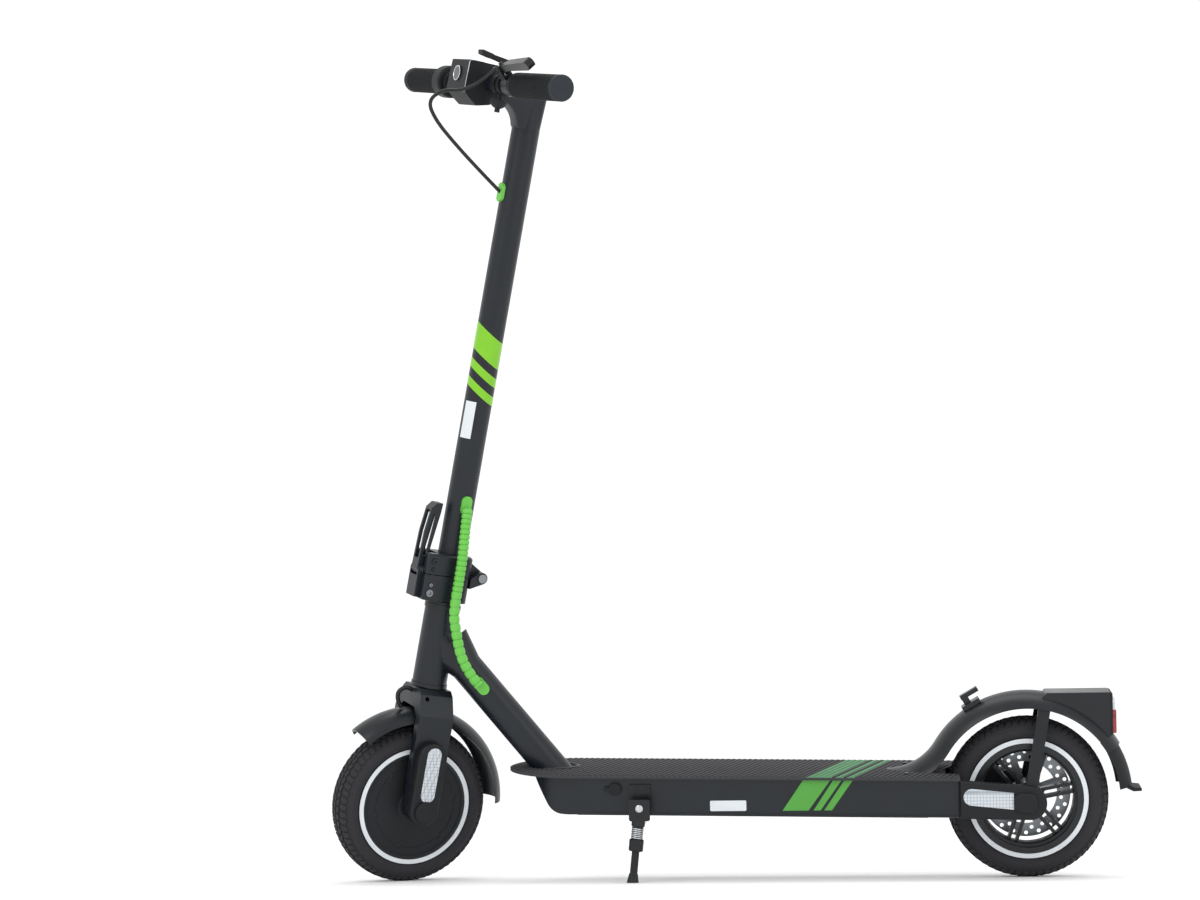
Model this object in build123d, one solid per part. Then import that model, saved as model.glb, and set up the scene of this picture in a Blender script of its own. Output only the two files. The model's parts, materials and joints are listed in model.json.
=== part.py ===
"""Folding electric kick scooter, standing on its kickstand with the bars turned left.

Three frames are used while modelling, all in millimetres:

* upright frame: X runs to the rear, Y to the rider's right, Z up; the front axle is at X = 0 and
  the floor under the upright scooter is Z = 0.
* deck frame: the upright frame, pitched by DECK_PITCH about DECK_PIVOT_X.
* column frame: Z runs up the steering axis from the front axle, X runs to the rear.

Every sub-part is modelled straight ahead and upright, then placed by STANCE, which leans the
scooter onto its kickstand and moves the origin to the middle of the floor print.
"""
from build123d import *
import os
from math import cos, degrees, asin, radians, sin, sqrt, tan

# ---- Stance ----
LEAN = 8.5
STEER = 31.9
RAKE = 11.5
DECK_PITCH = 1.0
DECK_PIVOT_X = 435.0
ORIGIN_X = 444.5
ORIGIN_Y = -165.8

# ---- Wheels ----
WHEELBASE = 835.0
TYRE_R = 108.0
TYRE_WIDTH = 50.0
TREAD_DEPTH = 7.0
RIM_SEAT_R = 75.0
RIM_FLANGE_R = 80.0
RIM_HALF_WIDTH = 21.0
RIM_FLANGE_WALL = 2.0
BEAD_WIDTH = 6.0
RING_WIDTH = 6.0
RING_THICKNESS = 1.0
BEARING_R = 14.0
BEARING_WIDTH = 8.0
AXLE_R = 6.0
RUNNING_GAP = 0.05

# ---- Hub motor ----
MOTOR_BARREL_INNER_R = 53.0
MOTOR_COVER_R = 71.0
MOTOR_COVER_THICKNESS = 4.0
MOTOR_WALL = 4.0
MAGNET_THICKNESS = 3.5
AIR_GAP = 0.7
STATOR_WIDTH = 22.0
STATOR_SLOTS = 18
COVER_SCREWS = 6
COVER_SCREW_PCR = 57.0
SCREW_HEAD_R = 2.8
SCREW_R = 1.9

# ---- Rear rim and brake ----
RIM_BARREL_INNER_R = 66.0
HUB_R = 21.0
HUB_HALF_WIDTH = 20.0
SPOKES = 6
SPOKE_FIRST_ANGLE = 11.0
SPOKE_LOOP_WIDTH = 15.0
SPOKE_BAR = 4.5
SPOKE_DEPTH = 12.0
DISC_R = 60.0
DISC_THICKNESS = 2.0
DISC_Y = 30.0
DISC_BAND = 18.0
DISC_HOLES = 20
DISC_HOLE_R = 2.6

# ---- Fork and head ----
FORK_INNER_HALF = 31.0
FORK_LEG_THICKNESS = 12.0
FORK_WIDTH_TOP = 50.0
FORK_WIDTH_BOTTOM = 41.0
CROWN_BOTTOM = 136.0
CROWN_TOP = 162.0
COVER_THICKNESS = 14.0
COVER_TOP = 95.0
REFLECTOR_WIDTH = 20.0
REFLECTOR_THICKNESS = 1.0
STEERER_R = 15.0
STEERER_WALL = 2.5
HEAD_TUBE_R = 23.5
HEAD_TUBE_WALL = 3.0
HEAD_TUBE_BOTTOM = 163.0
HEAD_TUBE_TOP = 277.0
HEADSET_HEIGHT = 8.0
DOWN_TUBE_R = 22.0
DOWN_TUBE_WALL = 3.0
DOWN_TUBE_X = 80.0
DOWN_TUBE_Z = 297.5
DOWN_TUBE_SLOPE = 50.85

# ---- Fold joint ----
SEAM = 318.0
SEAM_GAP = 1.0
LOWER_BLOCK_BOTTOM = 283.0
UPPER_BLOCK_TOP = 346.0
BLOCK_HALF_WIDTH = 29.0
BLOCK_FRONT = -44.0
BLOCK_REAR = 24.0
BLOCK_NOTCH_HALF = 14.0
FOLD_PIVOT_X = 39.0
FOLD_PIVOT_Z = 320.0
FOLD_BOSS_R = 8.0
FOLD_PIN_R = 4.0
LATCH_PIVOT_X = -45.0
LATCH_PIVOT_Z = 322.0
LATCH_HALF_WIDTH = 10.0
LATCH_TOP = 413.0
LATCH_PIN_R = 3.0

# ---- Stem and bars ----
STEM_R = 19.0
STEM_WALL = 3.0
STEM_BOTTOM = 322.0
STEM_TOP = 925.0
NECK_R = 18.5
NECK_TOP = 987.0
NECK_HALF_WIDTH = 17.5
BAR_X = -71.0
BAR_Z = 975.0
BAR_R = 11.1
BAR_WALL = 2.0
BAR_HALF = 236.0
GRIP_R = 17.0
GRIP_CAP = 3.5
LEFT_GRIP_START = 106.0
RIGHT_GRIP_START = 132.0
THROTTLE_R = 22.0
THROTTLE_WIDTH = 24.0
DISPLAY_HALF_WIDTH = 28.0
DISPLAY_TOP = 1001.0
GLASS_THICKNESS = 1.2
BUTTON_R = 5.0
BUTTON_X = -60.0
BUTTON_TRAVEL = 1.5
BRAKE_CLAMP_Y = -93.0
BRAKE_CLAMP_WIDTH = 18.0
BRAKE_PIVOT_OFFSET = 27.0
BRAKE_ANGLE = 40.0
BRAKE_LEVER_LENGTH = 98.0
BELL_Y = -55.0
BELL_LEVER_Y = -70.0

# ---- Deck (deck frame) ----
DECK_BOTTOM = 96.0
DECK_TOP = 146.3
MAT_THICKNESS = 3.2
MAT_HALF_WIDTH = 75.3
MAT_NOSE_X = 139.0
MAT_NOSE_LENGTH = 90.0
DECK_HALF_WIDTH = 70.0
DECK_NOSE_X = 171.0
DECK_REAR_X = 740.0
DECK_SLOPE = 59.5
DECK_WALL = 4.0
DECK_EDGE_R = 7.0
CAVITY_FRONT_X = 236.0
CAVITY_REAR_X = 700.0
WHEEL_WELL_R = 114.0
WHEEL_WELL_HALF = 33.0
BOTTOM_COVER = 3.0
BATTERY_LENGTH = 320.0
CONTROLLER_LENGTH = 90.0
CHARGE_X = 287.0
CHARGE_Z = 132.0
CHARGE_R = 8.0
CHARGE_BORE_R = 5.5
FLAP_R = 7.5
FLAP_THICKNESS = 2.4

# ---- Rear arms ----
ARM_INNER_Y = 54.0
ARM_THICKNESS = 10.0
ARM_TOP_FRONT = 141.0
ARM_TOP_REAR = 134.0
ARM_BOTTOM = 90.0
ARM_COVER_THICKNESS = 14.0
ARM_COVER_FRONT_X = 744.0
ARM_END_R = 22.0

# ---- Rear fender ----
FENDER_CROWN_R = 142.5
FENDER_SKIRT_DROP = 20.5
FENDER_HALF_WIDTH = 36.0
FENDER_WALL = 2.5
FLARE_R = 75.0
FENDER_REAR_ANGLE = 30.0
FLAP_REAR_ANGLE = 6.0
MUDFLAP_WALL = 3.0
LIP_HALF = 20.0
LENS_SEAM_Z = 225.0
HOOK_ANGLE = 120.0
STRUT_WIDTH = 16.0
STRUT_THICKNESS = 3.0
TAIL_BOX_HALF = 24.0
TAIL_BOX_REAR = 945.0
TAIL_BOX_TOP = 249.0
TAIL_BOX_BOTTOM = 190.0

# ---- Front fender ----
FRONT_FENDER_R = 134.0
FRONT_FENDER_DROP = 17.0
FRONT_FENDER_HALF = 30.0
FRONT_FENDER_START = 7.0
FRONT_FENDER_END = 136.0

# ---- Kickstand ----
STAND_PIVOT_X = 322.5
STAND_PIVOT_Z = 112.0
STAND_PIVOT_Y = -84.0
STAND_FOOT_X = 312.0
STAND_FOOT_Y = -98.0
STAND_PIN_R = 3.5
STAND_ROD_R = 5.0
STAND_PLATE = 4.0
STAND_PLATE_HALF = 14.0
STAND_BOSS_R = 8.0
STAND_CHEEK_INNER = -91.0
STAND_CHEEK_OUTER = -93.6
COLLAR_SPRING_TOP = -26.0
COLLAR_SPRING_BOTTOM = -41.5

# ---- Flexible pieces ----
CABLE_R = 2.5
GUARD_R = 7.0
MOTOR_CABLE_R = 3.0


# ---------------------------------------------------------------- frames
def steered_axle_rise():
    """Upward share of the front axle's direction once the wheel is steered and the scooter leans."""
    across = cos(radians(STEER))
    upward = sin(radians(RAKE)) * sin(radians(STEER))
    return across * sin(radians(LEAN)) + upward * cos(radians(LEAN))


CROWN_R = TYRE_WIDTH / 2
TREAD_CENTRE_R = TYRE_R - CROWN_R
FRONT_AXLE_Z = CROWN_R + TREAD_CENTRE_R * sqrt(1 - steered_axle_rise() ** 2) / cos(radians(LEAN))
STANCE = Pos(-ORIGIN_X, -ORIGIN_Y, CROWN_R * (1 - cos(radians(LEAN)))) * Rot(LEAN, 0, 0)
DECK = Pos(DECK_PIVOT_X, 0, 0) * Rot(0, DECK_PITCH, 0) * Pos(-DECK_PIVOT_X, 0, 0)
COLUMN = Pos(0, 0, FRONT_AXLE_Z) * Rot(0, RAKE, 0)
STEERED = COLUMN * Rot(0, 0, STEER)
REAR_AXLE = Pos(WHEELBASE, 0, TYRE_R)
BIG = 3000.0


# ---------------------------------------------------------------- helpers
def side(sketch, low, high):
    """Pull an outline drawn in side view (X, Z) across the scooter from Y = low to Y = high."""
    plane = Plane((0, high, 0), x_dir=(1, 0, 0), z_dir=(0, -1, 0))
    return extrude(plane * sketch, high - low)


def front(sketch, low, high):
    """Pull an outline drawn in front view (Y, Z) along X from X = low to X = high."""
    plane = Plane((low, 0, 0), x_dir=(0, 1, 0), z_dir=(1, 0, 0))
    return extrude(plane * sketch, high - low)


def rod(radius, low, high, x=0.0, z=0.0):
    """Round bar across the scooter, from Y = low to Y = high."""
    return Pos(x, (low + high) / 2, z) * Rot(90, 0, 0) * Cylinder(radius, high - low)


def tube(outer, inner, low, high, x=0.0, z=0.0):
    """Round sleeve across the scooter."""
    return rod(outer, low, high, x, z) - rod(inner, low - 1, high + 1, x, z)


def post(radius, low, high, x=0.0, y=0.0):
    """Round bar along Z."""
    return Pos(x, y, (low + high) / 2) * Cylinder(radius, high - low)


def block(x, y, z):
    """Box from its (low, high) pairs."""
    size = [pair[1] - pair[0] for pair in (x, y, z)]
    centre = [(pair[1] + pair[0]) / 2 for pair in (x, y, z)]
    return Pos(*centre) * Box(*size)


def outline(*points):
    """Closed straight-sided outline."""
    return make_face(Polyline(*points, close=True))


def turn(angle):
    """Turn in side view, from the rear (+X) up towards +Z."""
    return Rot(0, -angle, 0)


def lathe(section, start=0.0, end=360.0):
    """Turn a section (x = radius, y = across) about the Y axis between two side-view angles."""
    return turn(start) * revolve(section, Axis((0, 0, 0), (0, -1, 0)), end - start)


def both_sides(shape):
    """The shape and its mirror image in the scooter's middle plane."""
    return [shape, mirror(shape, about=Plane.XZ)]


def around(shape, count, first=0.0):
    """Copies of a shape evenly spaced about the Y axis."""
    return [turn(first + 360 / count * i) * shape for i in range(count)]


def group(*shapes):
    """Separate solids kept together in one node."""
    solids = []
    for shape in shapes:
        for item in shape if isinstance(shape, (list, tuple)) else [shape]:
            solids.extend(item.solids())
    return Compound(children=solids)


def main_solid(shape):
    """The largest solid of a shape that a cut left in pieces."""
    return shape.solids().sort_by(SortBy.VOLUME)[-1]


def cut_below_floor(shape, place):
    """Trim a placed shape at the floor and return it in its own frame."""
    floor = Pos(0, 0, -BIG / 2) * Box(BIG, BIG, BIG)
    stood = place * shape - floor
    return place.inverse() * stood


def cord(points, radius):
    """Round cord along straight runs joined by the largest tangent arcs that they allow."""
    radii = []
    for before, here, after in zip(points, points[1:], points[2:]):
        first, second = here - before, after - here
        half_turn = radians(first.get_angle(second)) / 2
        radii.append(0.45 * min(first.length, second.length) / tan(half_turn))
    path = FilletPolyline(*points, radius=radii)
    start = Plane(path @ 0, z_dir=path % 0)
    body = sweep(start * Circle(radius), path=path)
    print("cord radii", [round(value, 1) for value in radii], "length", round(path.length, 1))
    return body


# ---------------------------------------------------------------- wheels
def tyre():
    """Air-filled tyre, open towards the rim, with a half-round crown."""
    flange_in = RIM_HALF_WIDTH - RIM_FLANGE_WALL
    bead_in = flange_in - BEAD_WIDTH
    wall = 5.5
    inner_r = CROWN_R - wall
    shoulder = (TREAD_CENTRE_R + 3, sqrt(CROWN_R ** 2 - 9))
    liner = (TREAD_CENTRE_R + 1, sqrt(inner_r ** 2 - 1))
    step = RIM_FLANGE_R + 0.8
    half = [(RIM_SEAT_R, bead_in), (RIM_SEAT_R, flange_in), (step, flange_in), (step, RIM_HALF_WIDTH), shoulder]
    lines = [
        Polyline(*half),
        ThreePointArc(shoulder, (TYRE_R, 0), (shoulder[0], -shoulder[1])),
        Polyline(*[(r, -y) for r, y in reversed(half)]),
        Line((RIM_SEAT_R, -bead_in), (liner[0] - 3, -bead_in)),
        Line((liner[0] - 3, -bead_in), (liner[0], -liner[1])),
        ThreePointArc((liner[0], -liner[1]), (TREAD_CENTRE_R + inner_r - TREAD_DEPTH / 2, 0), liner),
        Line(liner, (liner[0] - 3, bead_in)),
        Line((liner[0] - 3, bead_in), (RIM_SEAT_R, bead_in)),
    ]
    return lathe(make_face(Curve() + lines))


def reflective_rings():
    """Pale ring on each rim flange."""
    outer, inner = RIM_FLANGE_R, RIM_FLANGE_R - RING_WIDTH
    ring = tube(outer, inner, -RIM_HALF_WIDTH - RING_THICKNESS, -RIM_HALF_WIDTH)
    return group(both_sides(ring))


def rim_barrel(inner_r):
    """Rim with a bead seat between two flanges."""
    half, seat = RIM_HALF_WIDTH, RIM_HALF_WIDTH - RIM_FLANGE_WALL
    section = outline(
        (inner_r, -half), (RIM_FLANGE_R, -half), (RIM_FLANGE_R, -seat), (RIM_SEAT_R, -seat),
        (RIM_SEAT_R, seat), (RIM_FLANGE_R, seat), (RIM_FLANGE_R, half), (inner_r, half),
    )
    return lathe(section)


def bearing(y):
    """Sealed bearing that runs on the axle."""
    half = BEARING_WIDTH / 2
    return tube(BEARING_R, AXLE_R + RUNNING_GAP, y - half, y + half)


def cover_screw_spots():
    """Places of the motor cover's screws."""
    return [turn(17 + 360 / COVER_SCREWS * i) * Pos(COVER_SCREW_PCR, 0, 0) for i in range(COVER_SCREWS)]


COVER_FACE = -RIM_HALF_WIDTH
COVER_SEAT = COVER_FACE + MOTOR_COVER_THICKNESS


def motor_shell():
    """Hub motor shell: the rim, a far wall and a step that seats the cover."""
    half = RIM_HALF_WIDTH
    shell = rim_barrel(MOTOR_BARREL_INNER_R)
    shell += tube(MOTOR_BARREL_INNER_R + 1, BEARING_R, half - MOTOR_WALL, half)
    shell += tube(BEARING_R + 4, BEARING_R, half - MOTOR_WALL, half + 4)
    shell -= rod(MOTOR_COVER_R, COVER_FACE - 1, COVER_SEAT)
    for spot in cover_screw_spots():
        shell -= spot * rod(SCREW_R, COVER_FACE, COVER_SEAT + 7)
    return shell


def motor_cover():
    """Flat near-side cover with six counterbored screws and a shallow ring groove."""
    cover = tube(MOTOR_COVER_R, BEARING_R, COVER_FACE, COVER_SEAT)
    cover += tube(BEARING_R + 4, BEARING_R, COVER_FACE - 4, COVER_FACE)
    cover -= tube(COVER_SCREW_PCR + 0.6, COVER_SCREW_PCR - 0.6, COVER_FACE - 1, COVER_FACE + 0.5)
    for spot in cover_screw_spots():
        cover += spot * rod(SCREW_HEAD_R + 2.4, COVER_FACE, COVER_SEAT)
        cover -= spot * rod(SCREW_HEAD_R + 0.3, COVER_FACE - 1, COVER_FACE + 2.2)
        cover -= spot * rod(SCREW_R, COVER_FACE - 1, COVER_SEAT + 1)
    return cover


def front_wheel_hardware():
    """Cover screws, magnet ring and the two wheel bearings."""
    head = rod(SCREW_HEAD_R, COVER_FACE + 0.6, COVER_FACE + 2.2) + rod(SCREW_R, COVER_FACE + 2.2, COVER_SEAT + 6)
    screws = [spot * head for spot in cover_screw_spots()]
    return group(screws, magnet_ring(), bearing(COVER_FACE), bearing(RIM_HALF_WIDTH))


def magnet_ring():
    """Ring of magnets glued inside the motor shell."""
    outer = MOTOR_BARREL_INNER_R
    return tube(outer, outer - MAGNET_THICKNESS, -STATOR_WIDTH / 2, STATOR_WIDTH / 2)


def motor_stator():
    """Slotted stator pressed onto the axle."""
    outer = MOTOR_BARREL_INNER_R - MAGNET_THICKNESS - AIR_GAP
    stator = tube(outer, AXLE_R, -STATOR_WIDTH / 2, STATOR_WIDTH / 2)
    slot = block((30, outer - 4), (-STATOR_WIDTH, STATOR_WIDTH), (-3, 3)) + block(
        (outer - 5, outer + 1), (-STATOR_WIDTH, STATOR_WIDTH), (-1, 1)
    )
    for cut in around(slot, STATOR_SLOTS):
        stator -= cut
    return stator


def hex_nut(flats, low, high):
    """Axle nut with its bore at the axle's size."""
    nut = Pos(0, high, 0) * Rot(90, 0, 0) * extrude(RegularPolygon(flats / 2, 6, major_radius=False), high - low)
    return nut - rod(AXLE_R, low - 1, high + 1)


FORK_OUTER_HALF = FORK_INNER_HALF + FORK_LEG_THICKNESS
NUT_HEIGHT = 7.0
NUT_FLATS = 19.0


def front_axle():
    """Axle, nuts and the spacers between bearings and fork."""
    half = FORK_OUTER_HALF + NUT_HEIGHT + 2
    spacer_start = RIM_HALF_WIDTH + BEARING_WIDTH / 2 + 0.1
    spacer = tube(AXLE_R + 3, AXLE_R, spacer_start, FORK_INNER_HALF)
    nut = hex_nut(NUT_FLATS, FORK_OUTER_HALF, FORK_OUTER_HALF + NUT_HEIGHT)
    return group(rod(AXLE_R, -half, half), both_sides(spacer), both_sides(nut))


def spoke_loop():
    """One split spoke: two slim bars joined in a round end."""
    outer_r = RIM_BARREL_INNER_R + 3
    length = outer_r - HUB_R + 3
    centre = (outer_r + HUB_R - 3) / 2
    body = Pos(centre, 0) * Rectangle(length, SPOKE_LOOP_WIDTH)
    gap_width = SPOKE_LOOP_WIDTH - 2 * SPOKE_BAR
    gap = Pos(centre - 1, 0) * SlotOverall(length - 12, gap_width)
    return side(body - gap, -SPOKE_DEPTH / 2, SPOKE_DEPTH / 2)


def rear_rim():
    """Cast rim with six split spokes, the hub that carries the brake disc, and its two bearings."""
    rim = rim_barrel(RIM_BARREL_INNER_R)
    hub = rod(HUB_R, -HUB_HALF_WIDTH, HUB_HALF_WIDTH)
    hub += rod(HUB_R - 2, HUB_HALF_WIDTH, DISC_Y - DISC_THICKNESS / 2)
    for spoke in around(spoke_loop(), SPOKES, SPOKE_FIRST_ANGLE):
        rim += spoke
    rim += hub
    rim -= rod(AXLE_R + 2, -HUB_HALF_WIDTH - 1, DISC_Y + 1)
    rim -= rod(BEARING_R, -HUB_HALF_WIDTH - 1, -HUB_HALF_WIDTH + BEARING_WIDTH)
    rim -= rod(BEARING_R, DISC_Y - DISC_THICKNESS / 2 - BEARING_WIDTH, DISC_Y + 1)
    near = bearing(-HUB_HALF_WIDTH + BEARING_WIDTH / 2)
    far = bearing(DISC_Y - DISC_THICKNESS / 2 - BEARING_WIDTH / 2)
    return REAR_AXLE * group(rim, near, far)


def brake_disc():
    """Drilled disc on four arms and its bolts."""
    low, high = DISC_Y - DISC_THICKNESS / 2, DISC_Y + DISC_THICKNESS / 2
    disc = tube(DISC_R, DISC_R - DISC_BAND, low, high)
    disc += tube(HUB_R - 1, BEARING_R, low, high)
    arm = block((HUB_R - 3, DISC_R - DISC_BAND + 3), (low, high), (-5, 5))
    for piece in around(arm, 4, 20):
        disc += piece
    for row, radius in enumerate((DISC_R - 5, DISC_R - 12)):
        hole = Pos(radius, 0, 0) * rod(DISC_HOLE_R, low - 1, high + 1)
        for cut in around(hole, DISC_HOLES, row * 180 / DISC_HOLES):
            disc -= cut
    bolts = around(Pos(HUB_R - 4.5, 0, 0) * rod(2.4, high, high + 1.6), 4, 45)
    return REAR_AXLE * group(disc, bolts)


# ---------------------------------------------------------------- fork and front fender
def leg_side_outline(low, top_width, bottom_width):
    """Side view of a fork leg from its round end up to the crown."""
    end_r = bottom_width / 2
    lower = Pos(0, low + end_r) * Circle(end_r)
    shank = outline(
        (-end_r, low + end_r), (end_r, low + end_r), (top_width / 2, 60), (top_width / 2, 128),
        (HEAD_TUBE_R, CROWN_TOP), (-HEAD_TUBE_R, CROWN_TOP), (-top_width / 2, 128), (-top_width / 2, 60),
    )
    return lower + shank


def fork():
    """Cast fork: round-shouldered crown, two legs, axle holes and the steerer tube."""
    outer, inner = FORK_OUTER_HALF, FORK_INNER_HALF
    shape = outline(
        (-outer, -20), (-outer, 128), (-HEAD_TUBE_R - 8, CROWN_TOP - 7), (-HEAD_TUBE_R, CROWN_TOP),
        (HEAD_TUBE_R, CROWN_TOP), (HEAD_TUBE_R + 8, CROWN_TOP - 7), (outer, 128), (outer, -20),
        (inner, -20), (inner, CROWN_BOTTOM - 12), (inner - 12, CROWN_BOTTOM),
        (-inner + 12, CROWN_BOTTOM), (-inner, CROWN_BOTTOM - 12), (-inner, -20),
    )
    body = front(shape, -FORK_WIDTH_TOP, FORK_WIDTH_TOP)
    body &= side(leg_side_outline(-17, FORK_WIDTH_TOP, FORK_WIDTH_BOTTOM), -outer, outer)
    body += post(STEERER_R, CROWN_TOP - 10, LOWER_BLOCK_BOTTOM + 32)
    body -= post(STEERER_R - STEERER_WALL, CROWN_TOP - 20, LOWER_BLOCK_BOTTOM + 40)
    body -= rod(AXLE_R, -outer - 1, outer + 1)
    body -= rod(3.0, -BIG, -HEAD_TUBE_R + 8, x=-14, z=CROWN_TOP - 12)
    return body


def leg_pill(width, low, high):
    """Upright pill outline around the axle's centre line."""
    return Pos(0, (low + high) / 2) * Rot(0, 0, 90) * SlotOverall(high - low, width)


COVER_FACE_Y = FORK_OUTER_HALF + COVER_THICKNESS
FORK_REFLECTOR_LOW = 14.0
FORK_REFLECTOR_HIGH = 89.0


def fork_covers():
    """Plastic cover over each axle end, with a round axle cap and a recess for the reflector."""
    width = FORK_WIDTH_BOTTOM
    cover = side(leg_pill(width, -width / 2 + 1, COVER_TOP), -COVER_FACE_Y, -FORK_OUTER_HALF)
    rim = [edge for edge in cover.faces().sort_by(Axis.Y)[0].edges()]
    cover = fillet(rim, 4.0)
    cover -= rod(NUT_FLATS / 2 + 2.6, -FORK_OUTER_HALF - NUT_HEIGHT - 3, -FORK_OUTER_HALF + 1)
    cover += rod(14.5, -COVER_FACE_Y - 3, -COVER_FACE_Y + 1, z=1)
    recess = leg_pill(REFLECTOR_WIDTH, FORK_REFLECTOR_LOW, FORK_REFLECTOR_HIGH)
    axle_cap = rod(14.5, -COVER_FACE_Y - 4, -40, z=1)
    cover -= side(recess, -COVER_FACE_Y - 0.01, -COVER_FACE_Y + REFLECTOR_THICKNESS) - axle_cap
    return group(both_sides(cover))


def fork_reflectors():
    """Pale reflector in each fork cover."""
    recess = leg_pill(REFLECTOR_WIDTH, FORK_REFLECTOR_LOW, FORK_REFLECTOR_HIGH)
    plate = side(recess, -COVER_FACE_Y - 0.6, -COVER_FACE_Y + REFLECTOR_THICKNESS)
    plate -= rod(14.5, -COVER_FACE_Y - 4, -40, z=1)
    return group(both_sides(plate))


def arch(crown_r, drop, half_width):
    """Arched line of a fender section: x = radius, y = across."""
    return ThreePointArc((crown_r - drop, -half_width), (crown_r, 0), (crown_r - drop, half_width))


def fender_fill(crown_r, drop, half_width):
    """Everything inside a fender arch, as a section to cut with."""
    edge_r, core_r = crown_r - drop, 20
    core = Polyline((edge_r, half_width), (core_r, half_width), (core_r, -half_width), (edge_r, -half_width))
    return make_face(Curve() + [arch(crown_r, drop, half_width), core])


def arch_section(crown_r, drop, half_width, wall):
    """Closed section of an arched fender wall."""
    inner_half, edge_r = half_width - wall, crown_r - drop
    lines = [
        arch(crown_r, drop, half_width),
        Line((edge_r, half_width), (edge_r, inner_half)),
        ThreePointArc((edge_r, inner_half), (crown_r - wall, 0), (edge_r, -inner_half)),
        Line((edge_r, -inner_half), (edge_r, -half_width)),
    ]
    return make_face(Curve() + lines)


def front_fender():
    """Fender that passes under the crown, with a mounting pad up to it."""
    section = arch_section(FRONT_FENDER_R, FRONT_FENDER_DROP, FRONT_FENDER_HALF, FENDER_WALL)
    shell = lathe(section, FRONT_FENDER_START, FRONT_FENDER_END)
    pad = block((-16, 16), (-12, 12), (FRONT_FENDER_R - 4, CROWN_BOTTOM))
    return shell + (pad - lathe(fender_fill(FRONT_FENDER_R - 1, FRONT_FENDER_DROP, FRONT_FENDER_HALF)))


def motor_cable():
    """Short loop of motor cable from the head tube's foot to the front fender."""
    points = [
        Vector(-25.0, -6, 156), Vector(-36, -6, 160), Vector(-46, -5, 152), Vector(-44, -4, 140),
        Vector(-36.5, -4, 131),
    ]
    return cord(points, MOTOR_CABLE_R)


# ---------------------------------------------------------------- head tube and down tube
def head_axis_cut(radius):
    """Long cylinder on the steering axis, in the upright frame."""
    return COLUMN * post(radius, HEAD_TUBE_BOTTOM - 60, HEAD_TUBE_TOP + 60)


def down_tube_place():
    """Frame whose Z axis runs down the down tube."""
    slope = radians(DOWN_TUBE_SLOPE)
    return Plane((DOWN_TUBE_X, 0, DOWN_TUBE_Z), x_dir=(0, 1, 0), z_dir=(cos(slope), 0, -sin(slope))).location


def head_tube():
    """Head tube with a rolled foot and a chamfered top collar."""
    body = post(HEAD_TUBE_R, HEAD_TUBE_BOTTOM, HEAD_TUBE_TOP)
    body += post(HEAD_TUBE_R + 1.2, HEAD_TUBE_BOTTOM, HEAD_TUBE_BOTTOM + 5)
    body += post(HEAD_TUBE_R + 1.2, HEAD_TUBE_TOP - 6, HEAD_TUBE_TOP)
    body -= post(HEAD_TUBE_R - HEAD_TUBE_WALL, HEAD_TUBE_BOTTOM - 1, HEAD_TUBE_TOP + 1)
    return COLUMN * body


def headset_bearings():
    """Upper and lower headset bearings and the dust cap."""
    outer, inner = HEAD_TUBE_R - HEAD_TUBE_WALL, STEERER_R + RUNNING_GAP
    rings = []
    for low in (HEAD_TUBE_BOTTOM + 1, HEAD_TUBE_TOP - HEADSET_HEIGHT):
        rings.append(post(outer, low, low + HEADSET_HEIGHT) - post(inner, low - 1, low + HEADSET_HEIGHT + 1))
    cap = post(HEAD_TUBE_R, HEAD_TUBE_TOP, HEAD_TUBE_TOP + 4) - post(inner, HEAD_TUBE_TOP - 1, HEAD_TUBE_TOP + 5)
    return COLUMN * group(rings, cap)


def down_tube():
    """Welded down tube: flared into the head tube, mitred onto the deck plate."""
    place = down_tube_place()
    body = place * Pos(0, 0, 70) * Cylinder(DOWN_TUBE_R, 360)
    oval = Plane((0, 0, -32)) * Ellipse(DOWN_TUBE_R, DOWN_TUBE_R + 11)
    flare = loft([Plane((0, 0, 8)) * Circle(DOWN_TUBE_R), oval])
    body += place * flare
    body -= place * Pos(0, 0, 80) * Cylinder(DOWN_TUBE_R - DOWN_TUBE_WALL, 360)
    body -= head_axis_cut(HEAD_TUBE_R)
    ahead = COLUMN * block((-200, 0), (-60, 60), (HEAD_TUBE_BOTTOM - 60, HEAD_TUBE_TOP + 200))
    body -= ahead
    below = DECK * block((-200, 900), (-200, 200), (-400, DECK_TOP))
    return (body - below).solids().sort_by(SortBy.VOLUME)[-1]


def down_tube_grommet():
    """Cable grommet let into the left side of the down tube."""
    pill = SlotOverall(27, 15)
    slope = radians(DOWN_TUBE_SLOPE)
    place = Plane(GUARD_FOOT, x_dir=(cos(slope), 0, -sin(slope)), z_dir=(0, -1, 0))
    body = extrude(place.offset(-9) * pill, 11)
    return body - down_tube_place() * Pos(0, 0, 70) * Cylinder(DOWN_TUBE_R, 400)


GUARD_FOOT = (107.0, -22.0, 268.0)
GUARD_CLIP = Vector(-3, -44, 302)


def guard_clip_in_frame():
    """The guard's joining point, and the point above it, in the upright frame."""
    here = (STEERED * Pos(GUARD_CLIP)).position
    above = (STEERED * Pos(GUARD_CLIP + Vector(0, 0, 30))).position
    return here, (here - above).normalized()


def cable_guard_lower():
    """Ribbed guard from the fold joint down to the down tube."""
    start, heading = guard_clip_in_frame()
    points = [
        start, start + heading * 30, Vector(77.5, -37.5, 342), Vector(82, -37, 312), Vector(93, -34.5, 287),
        Vector(105, -31.0, 270.5),
    ]
    return cord(points, GUARD_R)


def cable_guard_upper():
    """Ribbed guard from the stem's lower grommet to the fold joint."""
    points = [Vector(-2, -29.3, 412), Vector(-3.5, -38, 380), GUARD_CLIP + Vector(0, 0, 40), GUARD_CLIP]
    return cord(points, GUARD_R)


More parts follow.
